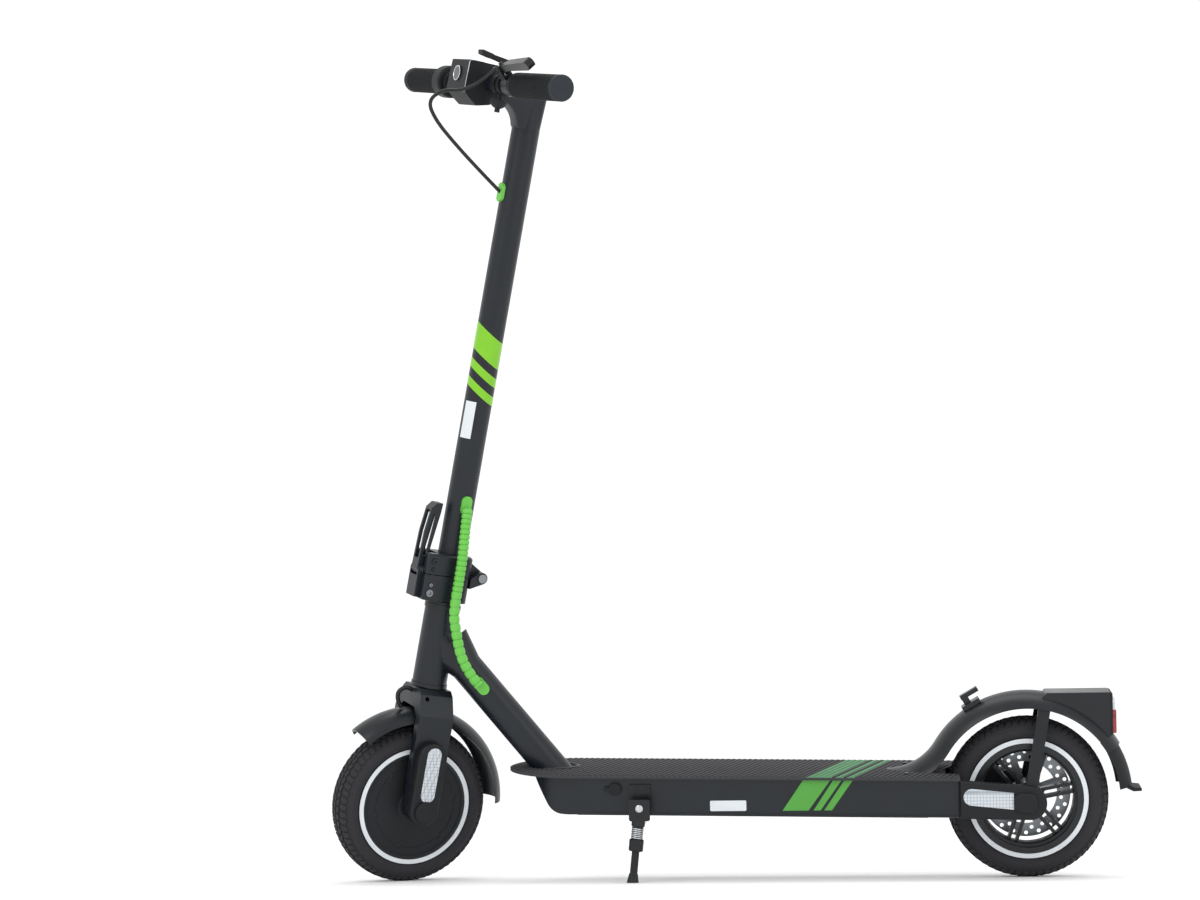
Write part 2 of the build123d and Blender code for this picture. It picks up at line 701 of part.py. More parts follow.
# ---------------------------------------------------------------- fold joint
def lug(low_z, high_z, half_low, half_high):
    """Rear hinge lug: a triangle from the block's rear face to the pivot boss."""
    boss = Pos(FOLD_PIVOT_X, FOLD_PIVOT_Z) * Circle(FOLD_BOSS_R)
    web = make_hull(
        (boss + Pos(BLOCK_REAR - 1, (low_z + high_z) / 2) * Rectangle(0.5, high_z - low_z)).edges()
    )
    return side(web, half_low, half_high)


def hinge_block(low, high):
    """Block around the column with rounded rear corners and an open notch at the front."""
    body = block((BLOCK_FRONT, BLOCK_REAR), (-BLOCK_HALF_WIDTH, BLOCK_HALF_WIDTH), (low, high))
    rear = body.edges().filter_by(Axis.Z).sort_by(Axis.X)[-2:]
    body = fillet(rear, 14)
    ahead = body.edges().filter_by(Axis.Z).sort_by(Axis.X)[:2]
    return fillet(ahead, 5)


HINGE_SCREW_X = -36.0
LOWER_SCREWS = ((293.0, 5.0), (304.0, 2.5))
UPPER_SCREWS = ((336.0, 4.0), (325.0, 2.5))


def screw_spots(rows):
    """Counterbored screw seats on both cheeks of a hinge block."""
    return [(Pos(HINGE_SCREW_X, 0, height), radius) for height, radius in rows]


def hinge_base():
    """Lower half of the fold joint, clamped on the steerer, with the latch housing and rear lugs."""
    top = SEAM - SEAM_GAP / 2
    body = hinge_block(LOWER_BLOCK_BOTTOM, top)
    body += block((BLOCK_FRONT - 7, BLOCK_FRONT + 1), (-13.5, 13.5), (LOWER_BLOCK_BOTTOM + 1, top - 3))
    for low, high in ((14.0, 26.0), (-26.0, -14.0)):
        body += lug(304, top, low, high)
    for low, high in ((LATCH_HALF_WIDTH + 0.4, 13.5), (-13.5, -LATCH_HALF_WIDTH - 0.4)):
        eye = Pos(LATCH_PIVOT_X, LATCH_PIVOT_Z) * Circle(6)
        ear = side(eye + Pos(LATCH_PIVOT_X, 312) * Rectangle(12, 20), low, high)
        body += ear
    body -= block((BLOCK_FRONT - 8, -22), (-LATCH_HALF_WIDTH - 0.4, LATCH_HALF_WIDTH + 0.4), (313, 340))
    body -= post(STEERER_R, LOWER_BLOCK_BOTTOM - 1, SEAM + 5)
    body -= rod(FOLD_PIN_R, -40, 40, FOLD_PIVOT_X, FOLD_PIVOT_Z)
    body -= rod(LATCH_PIN_R, -20, 20, LATCH_PIVOT_X, LATCH_PIVOT_Z)
    return cut_screw_seats(body, LOWER_SCREWS)


def cut_screw_seats(body, rows):
    """Cut the counterbores and screw holes into both cheeks."""
    for spot, radius in screw_spots(rows):
        for sign in (-1, 1):
            face = sign * BLOCK_HALF_WIDTH
            low, high = sorted((face - sign * 1.5, face + sign))
            body -= spot * rod(radius + 0.6, low, high)
            low, high = sorted((face - sign * 12, face))
            body -= spot * rod(radius * 0.5, low, high)
    return body


def screws(rows):
    """Socket screws in both cheeks."""
    made = []
    for spot, radius in screw_spots(rows):
        for sign in (-1, 1):
            face = sign * BLOCK_HALF_WIDTH
            low, high = sorted((face - sign * 1.5, face + sign * 1.2))
            head = spot * rod(radius, low, high)
            low, high = sorted((face - sign * 0.2, face + sign * 2))
            head -= spot * rod(radius * 0.45, low, high)
            low, high = sorted((face - sign * 11, face - sign * 1.5))
            made.append(head + spot * rod(radius * 0.5, low, high))
    return made


def hinge_fasteners():
    """Fold pin, latch pin and the lower block's screws."""
    pin = rod(FOLD_PIN_R, -27.5, 27.5, FOLD_PIVOT_X, FOLD_PIVOT_Z)
    for low, high in ((26.0, 28.0), (-28.0, -26.0)):
        pin += rod(FOLD_PIN_R + 2, low, high, FOLD_PIVOT_X, FOLD_PIVOT_Z)
    latch_pin = rod(LATCH_PIN_R, -13.5, 13.5, LATCH_PIVOT_X, LATCH_PIVOT_Z)
    return group(pin, latch_pin, screws(LOWER_SCREWS))


def stem_base():
    """Upper half of the fold joint with its screws: clamped on the stem, middle lug on the fold pin."""
    bottom = SEAM + SEAM_GAP / 2
    body = hinge_block(bottom, UPPER_BLOCK_TOP)
    top_edges = body.faces().sort_by(Axis.Z)[-1].edges()
    body = chamfer(top_edges, 2.5)
    body += lug(bottom, 339, -13.7, 13.7)
    body -= block((BLOCK_FRONT - 20, -26), (-BLOCK_NOTCH_HALF, BLOCK_NOTCH_HALF), (300, 400))
    body -= post(STEM_R, STEM_BOTTOM, UPPER_BLOCK_TOP + 5)
    body -= rod(FOLD_PIN_R + RUNNING_GAP, -30, 30, FOLD_PIVOT_X, FOLD_PIVOT_Z)
    return group(cut_screw_seats(body, UPPER_SCREWS), screws(UPPER_SCREWS))


def latch_lever():
    """Fold latch: a long looped lever standing in front of the stem."""
    profile = outline(
        (-51.5, 321), (-49.5, 372), (-45, 405), (-38, LATCH_TOP), (-29.5, LATCH_TOP), (-30.5, 400), (-37.5, 350),
        (-38.7, 321), (-41, 315.7), (-49, 315.7),
    )
    body = side(profile, -LATCH_HALF_WIDTH, LATCH_HALF_WIDTH)
    loop = outline((-47, 340), (-45, 372), (-41.5, 398), (-36.5, 398), (-41, 350), (-41.8, 340))
    body -= side(loop, -BIG / 10, BIG / 10)
    body -= block((-60, -20), (-LATCH_HALF_WIDTH + 4, LATCH_HALF_WIDTH - 4), (336, 402))
    body -= rod(LATCH_PIN_R + RUNNING_GAP, -20, 20, LATCH_PIVOT_X, LATCH_PIVOT_Z)
    return body


# ---------------------------------------------------------------- stem and neck
def stem_tube():
    """Straight stem tube."""
    return post(STEM_R, STEM_BOTTOM, STEM_TOP) - post(STEM_R - STEM_WALL, STEM_BOTTOM - 1, STEM_TOP + 1)


def neck():
    """Cast neck: a plug in the stem, an arm forward and a clamp round the bar."""
    profile = outline(
        (-NECK_R, STEM_TOP + 8), (NECK_R, STEM_TOP), (NECK_R, NECK_TOP), (-60, NECK_TOP + 4), (-80, NECK_TOP + 4),
        (-89, 982), (-89, 968), (-80, 958), (-58, 957), (-34, 952), (-NECK_R, 936),
    )
    profile = fillet(profile.vertices().sort_by(Axis.Y)[-3:].sort_by(Axis.X)[-1:], 15)
    arm = side(profile, -NECK_HALF_WIDTH, NECK_HALF_WIDTH)
    stub = post(NECK_R, STEM_TOP, 960)
    corner = block((0, 40), (-40, 40), (STEM_TOP - 1, 1000)) - post(NECK_R, STEM_TOP - 2, 1001)
    body = arm + stub - corner
    body += post(STEM_R - STEM_WALL, STEM_TOP - 25, STEM_TOP)
    body -= rod(BAR_R, -40, 40, BAR_X, BAR_Z)
    return body


def handlebar():
    """Straight bar."""
    return tube(BAR_R, BAR_R - BAR_WALL, -BAR_HALF, BAR_HALF, BAR_X, BAR_Z)


def grips():
    """Rubber grips with their end caps."""
    left = tube(GRIP_R, BAR_R, -BAR_HALF, -LEFT_GRIP_START, BAR_X, BAR_Z)
    right = tube(GRIP_R, BAR_R, RIGHT_GRIP_START, BAR_HALF, BAR_X, BAR_Z)
    caps = []
    for sign in (-1, 1):
        low, high = sorted((sign * BAR_HALF, sign * (BAR_HALF + GRIP_CAP)))
        cap = rod(GRIP_R - 0.4, low, high, BAR_X, BAR_Z)
        outer = cap.faces().sort_by(Axis.Y)[0 if sign < 0 else -1].edges()
        caps.append(fillet(outer, 1.6))
    return group(left, right, caps)


# ---------------------------------------------------------------- cockpit
def display_profile(grow=0.0):
    """Side view of the display and headlight housing."""
    return outline(
        (-110 - grow, DISPLAY_TOP + grow), (-112 - grow, 961), (-101 - grow, 951 - grow), (-90, 943 - grow),
        (-72, 947 - grow), (-52 + grow, 957 - grow), (-46 + grow, 975), (-49 + grow, DISPLAY_TOP - 1 + grow),
    )


def display_housing():
    """Display and headlight housing wrapped round the neck's clamp."""
    half = DISPLAY_HALF_WIDTH
    body = side(display_profile(), -half, half)
    body = chamfer(body.edges().filter_by(Axis.Y), 1.2)
    body -= side(display_profile(-3), -half + 3, half - 3) - block((-120, -40), (-5, 5), (940, 960))
    body -= block((-95, -30), (-NECK_HALF_WIDTH - 0.2, NECK_HALF_WIDTH + 0.2), (950.5, 993))
    body -= rod(BAR_R, -half - 1, half + 1, BAR_X, BAR_Z)
    body -= block((-106, -66), (-half + 4, half - 4), (DISPLAY_TOP - GLASS_THICKNESS, DISPLAY_TOP + 5))
    body -= post(BUTTON_R + 0.3, DISPLAY_TOP - 10, DISPLAY_TOP + 5, x=BUTTON_X)
    body -= headlight_place() * Cylinder(10, 8)
    return body


def headlight_place():
    """Frame of the headlight, square to the housing's front face."""
    return Pos(-111.3, 0, 982) * Rot(0, -90, 0)


def display_lenses():
    """Dark display glass and the headlight lens."""
    glass = block(
        (-106, -66), (-DISPLAY_HALF_WIDTH + 4, DISPLAY_HALF_WIDTH - 4), (DISPLAY_TOP - GLASS_THICKNESS, DISPLAY_TOP)
    )
    lens = headlight_place() * Pos(0, 0, 0.2) * Cylinder(10, 3)
    return group(glass, lens)


def power_button():
    """Round push button on the display housing."""
    return post(BUTTON_R, DISPLAY_TOP - 6, DISPLAY_TOP + 1.6, x=BUTTON_X) + post(
        BUTTON_R + 1.5, DISPLAY_TOP - 7.5, DISPLAY_TOP - 6, x=BUTTON_X
    )


def throttle_housing():
    """Throttle body between the right grip and its thumb lever."""
    start = RIGHT_GRIP_START - 2 - THROTTLE_WIDTH
    body = tube(THROTTLE_R, BAR_R, start, start + THROTTLE_WIDTH, BAR_X, BAR_Z)
    rims = body.edges().filter_by(GeomType.CIRCLE).filter_by(lambda e: e.radius > THROTTLE_R - 1)
    return fillet(rims, 3)


def throttle_lever():
    """Thumb lever that turns on the bar beside the throttle body."""
    high = RIGHT_GRIP_START - 2 - THROTTLE_WIDTH - 0.3
    low = high - 8
    body = rod(15, low, high, BAR_X, BAR_Z)
    paddle = block((BAR_X + 8, BAR_X + 44), (low, high + 6), (BAR_Z - 16, BAR_Z - 10))
    paddle -= block((BAR_X, BAR_X + 24), (high, high + 20), (BAR_Z - 30, BAR_Z + 30))
    body += fillet(paddle.edges().filter_by(Axis.Y).sort_by(Axis.X)[-2:], 2.5)
    return body - rod(BAR_R + RUNNING_GAP, low - 1, high + 1, BAR_X, BAR_Z)


def brake_plane():
    """Frame at the bar's axis whose X points at the lever pivot and whose Z is the pivot's axis."""
    tilt = radians(BRAKE_ANGLE)
    ahead, across = (-cos(tilt), 0, sin(tilt)), (sin(tilt), 0, cos(tilt))
    return Plane((BAR_X, BRAKE_CLAMP_Y, BAR_Z), x_dir=ahead, z_dir=across).location


def brake_bracket():
    """Clamp on the bar with a slotted arm for the lever and the cable's barrel."""
    half = BRAKE_CLAMP_WIDTH / 2
    body = tube(15, BAR_R, BRAKE_CLAMP_Y - half, BRAKE_CLAMP_Y + half, BAR_X, BAR_Z)
    arm = Pos(21, -1, 0) * Box(24, 14, 13)
    end = Pos(BRAKE_PIVOT_OFFSET, 0, 0) * Cylinder(8, 13)
    shape = brake_plane() * (arm + end)
    barrel = brake_plane() * Pos(26, -14, 0) * Rot(90, 0, 0) * (Cylinder(3.6, 16) - Cylinder(CABLE_R, 40))
    slot = brake_plane() * Pos(BRAKE_PIVOT_OFFSET, 6, 0) * Box(17.5, 30, 6.4)
    body += shape
    body += barrel
    body -= rod(BAR_R, BRAKE_CLAMP_Y - 40, BRAKE_CLAMP_Y + 40, BAR_X, BAR_Z)
    body -= slot
    return body - brake_plane() * Pos(BRAKE_PIVOT_OFFSET, 0, 0) * Cylinder(2.0, 40)


def brake_pin():
    """Pivot pin of the brake lever."""
    return brake_plane() * Pos(BRAKE_PIVOT_OFFSET, 0, 0) * Cylinder(2.0, 14)


def brake_lever():
    """Lever blade with a flattened round end, swept away from the grip."""
    blade = make_hull(
        (Pos(BRAKE_PIVOT_OFFSET, 0) * Circle(6.0) + Pos(BRAKE_PIVOT_OFFSET + 7, 32) * Circle(5)).edges()
    )
    finger = make_hull(
        (
            Pos(BRAKE_PIVOT_OFFSET + 7, 32) * Circle(5)
            + Pos(BRAKE_PIVOT_OFFSET + 11, BRAKE_LEVER_LENGTH) * Circle(6.5)
        ).edges()
    )
    hub = extrude(blade, 3, both=True)
    grip_part = extrude(finger, 5.5, both=True)
    recess = extrude(SlotOverall(26, 7), -1)
    recess = Pos(BRAKE_PIVOT_OFFSET + 10, BRAKE_LEVER_LENGTH - 10, 5.5) * Rot(0, 0, 88) * recess
    body = hub + grip_part - recess
    body -= Pos(BRAKE_PIVOT_OFFSET, 0, 0) * Cylinder(2.0 + RUNNING_GAP, 40)
    return brake_plane() * body


def bell():
    """Bell under the bar: clamp ring, dome and knob."""
    clamp = tube(14, BAR_R, BELL_Y - 6, BELL_Y + 6, BAR_X, BAR_Z)
    neck_post = post(5, BAR_Z - 20, BAR_Z - 12, x=BAR_X, y=BELL_Y)
    dome = Pos(BAR_X, BELL_Y, BAR_Z - 20) * (Sphere(12) & Pos(0, 0, -6) * Box(30, 30, 12))
    knob = Pos(BAR_X, BELL_Y, BAR_Z - 34) * Cylinder(3.5, 5)
    body = clamp + neck_post - rod(BAR_R, BELL_Y - 7, BELL_Y + 7, BAR_X, BAR_Z)
    return group(body, dome + knob)


def bell_lever():
    """Thumb lever of the bell, turning on the bar and reaching forward over the brake cable."""
    low, high = BELL_LEVER_Y - 4, BELL_LEVER_Y + 4
    hub = rod(14, low, high, BAR_X, BAR_Z)
    arm = outline((-66, 985), (-78, 985), (-80, 1001), (-114, 1007.5), (-115, 1012.5), (-74, 1007))
    blade = side(arm, low, high)
    pad = side(outline((-99, 1004.5), (-115, 1007.5), (-116, 1014), (-98, 1010.5)), low - 2.5, high + 2.5)
    pad = fillet(pad.edges().filter_by(Axis.Y), 1.5)
    return hub + blade + pad - rod(BAR_R + RUNNING_GAP, low - 10, high + 10, BAR_X, BAR_Z)


BARREL_MOUTH = 22.0
STEM_GROMMET_Z = 838.0
GUARD_GROMMET_Z = 415.0


def brake_cable():
    """Brake cable from the lever's barrel round the front to the stem grommet."""
    mouth = (brake_plane() * Pos(26, -BARREL_MOUTH, 0)).position
    points = [
        mouth, Vector(-96, -50, 976), Vector(-117, -37, 958), Vector(-141, -29, 955), Vector(-157, -23, 937),
        Vector(-138, -17, 914), Vector(-101, -11, 888), Vector(-62, -5, 863), Vector(-23.5, 0, 839),
    ]
    return cord(points, CABLE_R)


def stem_grommets():
    """Cable grommets: one in the stem's front, one low on its left side."""
    pill = Rot(0, 0, 90) * SlotOverall(26, 14)
    ahead = Plane((-STEM_R - 3.5, 0, STEM_GROMMET_Z), x_dir=(0, 1, 0), z_dir=(-1, 0, 0))
    upper = extrude(ahead * pill, -12) - post(STEM_R, STEM_GROMMET_Z - 40, STEM_GROMMET_Z + 40)
    left = Plane((0, -STEM_R - 3.0, GUARD_GROMMET_Z), x_dir=(1, 0, 0), z_dir=(0, -1, 0))
    lower = extrude(left * pill, -12) - post(STEM_R, GUARD_GROMMET_Z - 40, GUARD_GROMMET_Z + 40)
    return group(upper, lower)


# ---------------------------------------------------------------- deck
def nose_plan(nose_x, nose_length, half_width, rear_x):
    """Plan outline: straight sides behind a half-elliptic nose."""
    shoulder = nose_x + nose_length
    body = Pos((shoulder + rear_x) / 2, 0) * Rectangle(rear_x - shoulder, 2 * half_width)
    return body + Pos(shoulder, 0) * Ellipse(nose_length, half_width)


def wheel_well():
    """Space round the rear wheel, in the deck frame."""
    return DECK.inverse() * REAR_AXLE * rod(WHEEL_WELL_R, -WHEEL_WELL_HALF, WHEEL_WELL_HALF)


def deck_hull():
    """Outer form of the deck body in the deck frame."""
    run = (DECK_TOP - DECK_BOTTOM) / tan(radians(DECK_SLOPE))
    profile = outline(
        (DECK_NOSE_X, DECK_TOP), (DECK_NOSE_X + run, DECK_BOTTOM), (DECK_REAR_X, DECK_BOTTOM), (DECK_REAR_X, DECK_TOP)
    )
    corner = profile.vertices().sort_by(Axis.Y)[:2].sort_by(Axis.X)[:1]
    profile = fillet(corner, 24)
    half = DECK_HALF_WIDTH
    middle, height = (DECK_TOP + DECK_BOTTOM) / 2, DECK_TOP - DECK_BOTTOM
    section = Pos(0, middle) * RectangleRounded(2 * half, height, DECK_EDGE_R)
    top_square = Pos(0, DECK_TOP - DECK_EDGE_R) * Rectangle(2 * half, 2 * DECK_EDGE_R)
    hull = side(profile, -half, half)
    plan = nose_plan(DECK_NOSE_X, MAT_NOSE_LENGTH, half, DECK_REAR_X)
    hull &= Pos(0, 0, DECK_BOTTOM) * extrude(plan, DECK_TOP - DECK_BOTTOM)
    hull &= front(section + top_square, DECK_NOSE_X - 10, DECK_REAR_X + 10)
    return hull


def deck_cavity(low, high, inset):
    """Room inside the deck body."""
    half = DECK_HALF_WIDTH - DECK_WALL - inset
    return block((CAVITY_FRONT_X + inset, CAVITY_REAR_X - inset), (-half, half), (low, high))


def deck_shell():
    """Deck body: a tray open underneath, with a well for the rear wheel."""
    body = deck_hull() - deck_cavity(DECK_BOTTOM - 5, DECK_TOP - DECK_WALL, 0)
    body -= wheel_well()
    body -= rod(CHARGE_R, -DECK_HALF_WIDTH - 1, -DECK_HALF_WIDTH + DECK_WALL + 1, CHARGE_X, CHARGE_Z)
    return DECK * body


def deck_bottom_cover():
    """Cover plate let into the underside."""
    return DECK * deck_cavity(DECK_BOTTOM, DECK_BOTTOM + BOTTOM_COVER, 0)


def deck_electronics():
    """Battery pack and motor controller inside the deck."""
    floor, roof = DECK_BOTTOM + BOTTOM_COVER, DECK_TOP - DECK_WALL
    battery = block((CAVITY_FRONT_X + 40, CAVITY_FRONT_X + 40 + BATTERY_LENGTH), (-52, 52), (floor, roof - 4))
    controller = block((CAVITY_REAR_X - 8 - CONTROLLER_LENGTH, CAVITY_REAR_X - 8), (-45, 45), (floor, roof - 10))
    return DECK * group(battery, controller)


def deck_mat():
    """Rubber foot mat with the down tube's opening and the wheel well."""
    plan = nose_plan(MAT_NOSE_X, MAT_NOSE_LENGTH, MAT_HALF_WIDTH, DECK_REAR_X + 2)
    mat = Pos(0, 0, DECK_TOP) * extrude(plan, MAT_THICKNESS)
    opening = DECK.inverse() * down_tube_place() * Pos(0, 0, 120) * Cylinder(DOWN_TUBE_R, 400)
    return DECK * (mat - wheel_well() - opening)


def charge_port():
    """Charging socket in the deck's left wall, with a flange and the flap's knuckle."""
    outer = -DECK_HALF_WIDTH
    port = rod(CHARGE_R, outer, outer + 18, CHARGE_X, CHARGE_Z)
    port += rod(CHARGE_R + 1.5, outer - 1.6, outer, CHARGE_X, CHARGE_Z)
    port += block((CHARGE_X - 14.5, CHARGE_X - 7), (outer - 1.6, outer), (CHARGE_Z - 3, CHARGE_Z + 3))
    port -= rod(CHARGE_BORE_R, outer - 2, outer + 14, CHARGE_X, CHARGE_Z)
    return DECK * port


def flap_axis_point():
    """Middle of the charge flap's fold line, in the upright frame."""
    return DECK * Pos(CHARGE_X - 12.5, -DECK_HALF_WIDTH - 1.9 - FLAP_THICKNESS / 2, CHARGE_Z)


def charge_flap():
    """Round flap over the socket, on a strap at its front."""
    face = -DECK_HALF_WIDTH - 1.9
    flap = rod(FLAP_R, face - FLAP_THICKNESS, face, CHARGE_X, CHARGE_Z)
    strap = block((CHARGE_X - 13.2, CHARGE_X - 5), (face - FLAP_THICKNESS, face), (CHARGE_Z - 2.5, CHARGE_Z + 2.5))
    return DECK * (flap + strap)


# ---------------------------------------------------------------- rear arms
def arm_outline(front_x, grow):
    """Side view of a rear arm, tapering to a round end about the axle."""
    end = Pos(WHEELBASE, TYRE_R + 3) * Circle(ARM_END_R + grow)
    body = outline(
        (front_x, ARM_BOTTOM + 1.5 - grow), (WHEELBASE, TYRE_R + 3 - ARM_END_R - grow),
        (WHEELBASE, TYRE_R + 3 + ARM_END_R + grow), (front_x, ARM_TOP_FRONT + grow),
    )
    return body + end


def rear_arms():
    """Plates that carry the rear axle, butted against the deck body."""
    arm = side(arm_outline(CAVITY_REAR_X, -1), -ARM_INNER_Y - ARM_THICKNESS, -ARM_INNER_Y)
    arm -= rod(AXLE_R, -80, -40, WHEELBASE, TYRE_R)
    arm -= DECK * block((600, DECK_REAR_X), (-100, 100), (60, 160))
    return group(both_sides(arm))


ARM_FACE_Y = ARM_INNER_Y + ARM_THICKNESS
ARM_COVER_FACE_Y = ARM_FACE_Y + ARM_COVER_THICKNESS


def arm_reflector_outline():
    """Pill outline of the side reflector on a rear arm."""
    return Pos(WHEELBASE - 45, TYRE_R + 9) * Rot(0, 0, -6) * SlotOverall(84, 22)


def arm_cap_gap():
    """Space that the reflector leaves free for the axle cap."""
    gap = Pos(WHEELBASE - 6, TYRE_R + 4) * Rectangle(31, 40)
    return side(gap, -ARM_COVER_FACE_Y - 5, -ARM_COVER_FACE_Y + 3)


def rear_arm_covers():
    """Plastic covers on the arms, with an axle cap and a recess for the reflector."""
    cover = side(arm_outline(ARM_COVER_FRONT_X, 0), -ARM_COVER_FACE_Y, -ARM_FACE_Y)
    cover = fillet(cover.faces().sort_by(Axis.Y)[0].edges(), 2.5)
    cover -= rod(NUT_FLATS / 2 + 2.6, -ARM_FACE_Y - NUT_HEIGHT - 3, -ARM_FACE_Y + 1, WHEELBASE, TYRE_R)
    cap_outline = Pos(WHEELBASE - 6, TYRE_R + 4) * RectangleRounded(31, 26, 10)
    cap = side(cap_outline, -ARM_COVER_FACE_Y - 4, -ARM_COVER_FACE_Y + 1)
    cover += fillet(cap.faces().sort_by(Axis.Y)[0].edges(), 2)
    recess = side(arm_reflector_outline(), -ARM_COVER_FACE_Y - 0.01, -ARM_COVER_FACE_Y + REFLECTOR_THICKNESS)
    cover -= recess - arm_cap_gap()
    return group(both_sides(cover))


def rear_reflectors():
    """Pale reflector in each arm cover."""
    plate = side(arm_reflector_outline(), -ARM_COVER_FACE_Y - 0.6, -ARM_COVER_FACE_Y + REFLECTOR_THICKNESS)
    plate -= arm_cap_gap()
    return group(both_sides(plate))


def rear_axle():
    """Rear axle with its spacers and nuts, as separate solids."""
    half = ARM_FACE_Y + NUT_HEIGHT + 2
    near = tube(AXLE_R + 3, AXLE_R, -ARM_INNER_Y, -HUB_HALF_WIDTH - 0.1)
    far = tube(AXLE_R + 3, AXLE_R, DISC_Y + DISC_THICKNESS / 2 + 0.4, ARM_INNER_Y)
    nut = hex_nut(NUT_FLATS, ARM_FACE_Y, ARM_FACE_Y + NUT_HEIGHT)
    return [REAR_AXLE * piece for piece in (rod(AXLE_R, -half, half), near, far, *both_sides(nut))]


CALIPER_ANGLE = 152.0
CALIPER_R = 57.0


def caliper_place():
    """Frame of the caliper, level, on the disc's front upper edge."""
    angle = radians(CALIPER_ANGLE)
    return REAR_AXLE * Pos(CALIPER_R * cos(angle), 0, CALIPER_R * sin(angle))


def brake_caliper():
    """Caliper astride the disc, its pads and its post on the right arm."""
    body = block((-17, 15), (DISC_Y - 6, DISC_Y + 15), (-16, 16))
    body = fillet(body.edges().filter_by(Axis.Y), 5)
    body -= caliper_place().inverse() * REAR_AXLE * rod(DISC_R + 1.5, DISC_Y - 3.2, DISC_Y + 3.2)
    mount = rod(7, DISC_Y + 14, ARM_INNER_Y, x=-2, z=-8)
    pads = [rod(6, DISC_Y + 1.5, DISC_Y + 3.2, x=2, z=-2), rod(6, DISC_Y - 3.2, DISC_Y - 1.5, x=2, z=-2)]
    post_pin = rod(2.5, DISC_Y + 15, DISC_Y + 20.5, x=4, z=6)
    return caliper_place() * group(body + mount + post_pin, pads)


def caliper_arm():
    """Cable arm of the caliper."""
    shape = make_hull((Pos(4, 6) * Circle(6) + Pos(-6, 34) * Circle(4)).edges())
    arm = side(shape, DISC_Y + 15.3, DISC_Y + 19.3)
    arm -= rod(2.5 + RUNNING_GAP, DISC_Y + 10, DISC_Y + 30, x=4, z=6)
    arm -= rod(1.6, DISC_Y + 10, DISC_Y + 30, x=-6, z=34)
    return caliper_place() * arm


# ---------------------------------------------------------------- rear fender
def flare_angle():
    """Side-view angle where the fender's crown turns into the flare on the mat."""
    mat_z = (DECK * Pos(655, 0, DECK_TOP + MAT_THICKNESS)).position.Z + 1.5
    return 180 - degrees(asin((mat_z - TYRE_R + FLARE_R) / (FENDER_CROWN_R + FLARE_R)))


def flare_centre():
    """Centre of the flare's arc."""
    angle, reach = radians(flare_angle()), FENDER_CROWN_R + FLARE_R
    return Pos(WHEELBASE + reach * cos(angle), 0, TYRE_R + reach * sin(angle))


def flare_section():
    """Fender section as the flare's arc sees it, with the crown nearest the arc's centre."""
    drop, half, wall = FENDER_SKIRT_DROP, FENDER_HALF_WIDTH, FENDER_WALL
    inner_half = half - wall
    lines = [
        ThreePointArc((FLARE_R + drop, -half), (FLARE_R, 0), (FLARE_R + drop, half)),
        Line((FLARE_R + drop, half), (FLARE_R + drop, inner_half)),
        ThreePointArc((FLARE_R + drop, inner_half), (FLARE_R + wall, 0), (FLARE_R + drop, -inner_half)),
        Line((FLARE_R + drop, -inner_half), (FLARE_R + drop, -half)),
    ]
    return make_face(Curve() + lines)


def above_mat(shape):
    """Trim a piece at the mat's top face."""
    return shape - DECK * block((400, DECK_REAR_X + 2), (-200, 200), (0, DECK_TOP + MAT_THICKNESS))


def rear_fender():
    """Arched fender with a flare onto the mat and the lamp box at its rear."""
    angle = flare_angle()
    section = arch_section(FENDER_CROWN_R, FENDER_SKIRT_DROP, FENDER_HALF_WIDTH, FENDER_WALL)
    shell = REAR_AXLE * lathe(section, FENDER_REAR_ANGLE, angle)
    flare = flare_centre() * lathe(flare_section(), 270, 180 + angle)
    body = above_mat(shell + flare)
    top, bottom, rear, wall = TAIL_BOX_TOP, TAIL_BOX_BOTTOM, TAIL_BOX_REAR, FENDER_WALL
    box_side = outline((862, top), (rear, top), (rear, bottom), (905, bottom - 2), (840, 225))
    inner_side = outline(
        (870, top - wall), (rear + 1, top - wall), (rear + 1, bottom + wall), (905, bottom), (850, 228),
    )
    box = side(box_side, -TAIL_BOX_HALF, TAIL_BOX_HALF)
    box = fillet(box.edges().filter_by(Axis.X).sort_by(Axis.Z)[-2:], 3)
    box -= side(inner_side, -TAIL_BOX_HALF + wall, TAIL_BOX_HALF - wall)
    inside = REAR_AXLE * lathe(fender_fill(FENDER_CROWN_R - wall / 2, FENDER_SKIRT_DROP, FENDER_HALF_WIDTH))
    return body + (box - inside)


def tail_light_lenses():
    """Red lamp lens below a clear reflector strip, closing the lamp box."""
    half, rear, wall = TAIL_BOX_HALF, TAIL_BOX_REAR, FENDER_WALL
    red = block((rear - 6, rear + 5.5), (-half + 3, half - 3), (TAIL_BOX_BOTTOM + 3, LENS_SEAM_Z))
    clear = block((rear - 6, rear + 3), (-half + 3, half - 3), (LENS_SEAM_Z, TAIL_BOX_TOP - 8))
    rim = block((rear, rear + 2), (-half, half), (TAIL_BOX_BOTTOM, TAIL_BOX_TOP - 1))
    plug = block((rear - 6, rear), (-half + wall, half - wall), (TAIL_BOX_BOTTOM + wall, TAIL_BOX_TOP - wall))
    fender, flap = rear_fender(), mudflap()
    return group([main_solid(lens - fender - flap) for lens in (red, clear, rim + plug - red - clear)])


def mudflap():
    """Flap hung from the fender's rear edge, with an outturned lip."""
    inset = FENDER_WALL + 0.3
    crown, half = FENDER_CROWN_R - inset, FENDER_HALF_WIDTH - inset
    section = arch_section(crown, FENDER_SKIRT_DROP - 2, half, MUDFLAP_WALL)
    body = REAR_AXLE * lathe(section, FLAP_REAR_ANGLE, FENDER_REAR_ANGLE + 8)
    lip = outline((967, 126), (976, 121), (985, 120), (985, 116.5), (974, 116), (966, 120))
    return body + side(lip, -LIP_HALF, LIP_HALF)


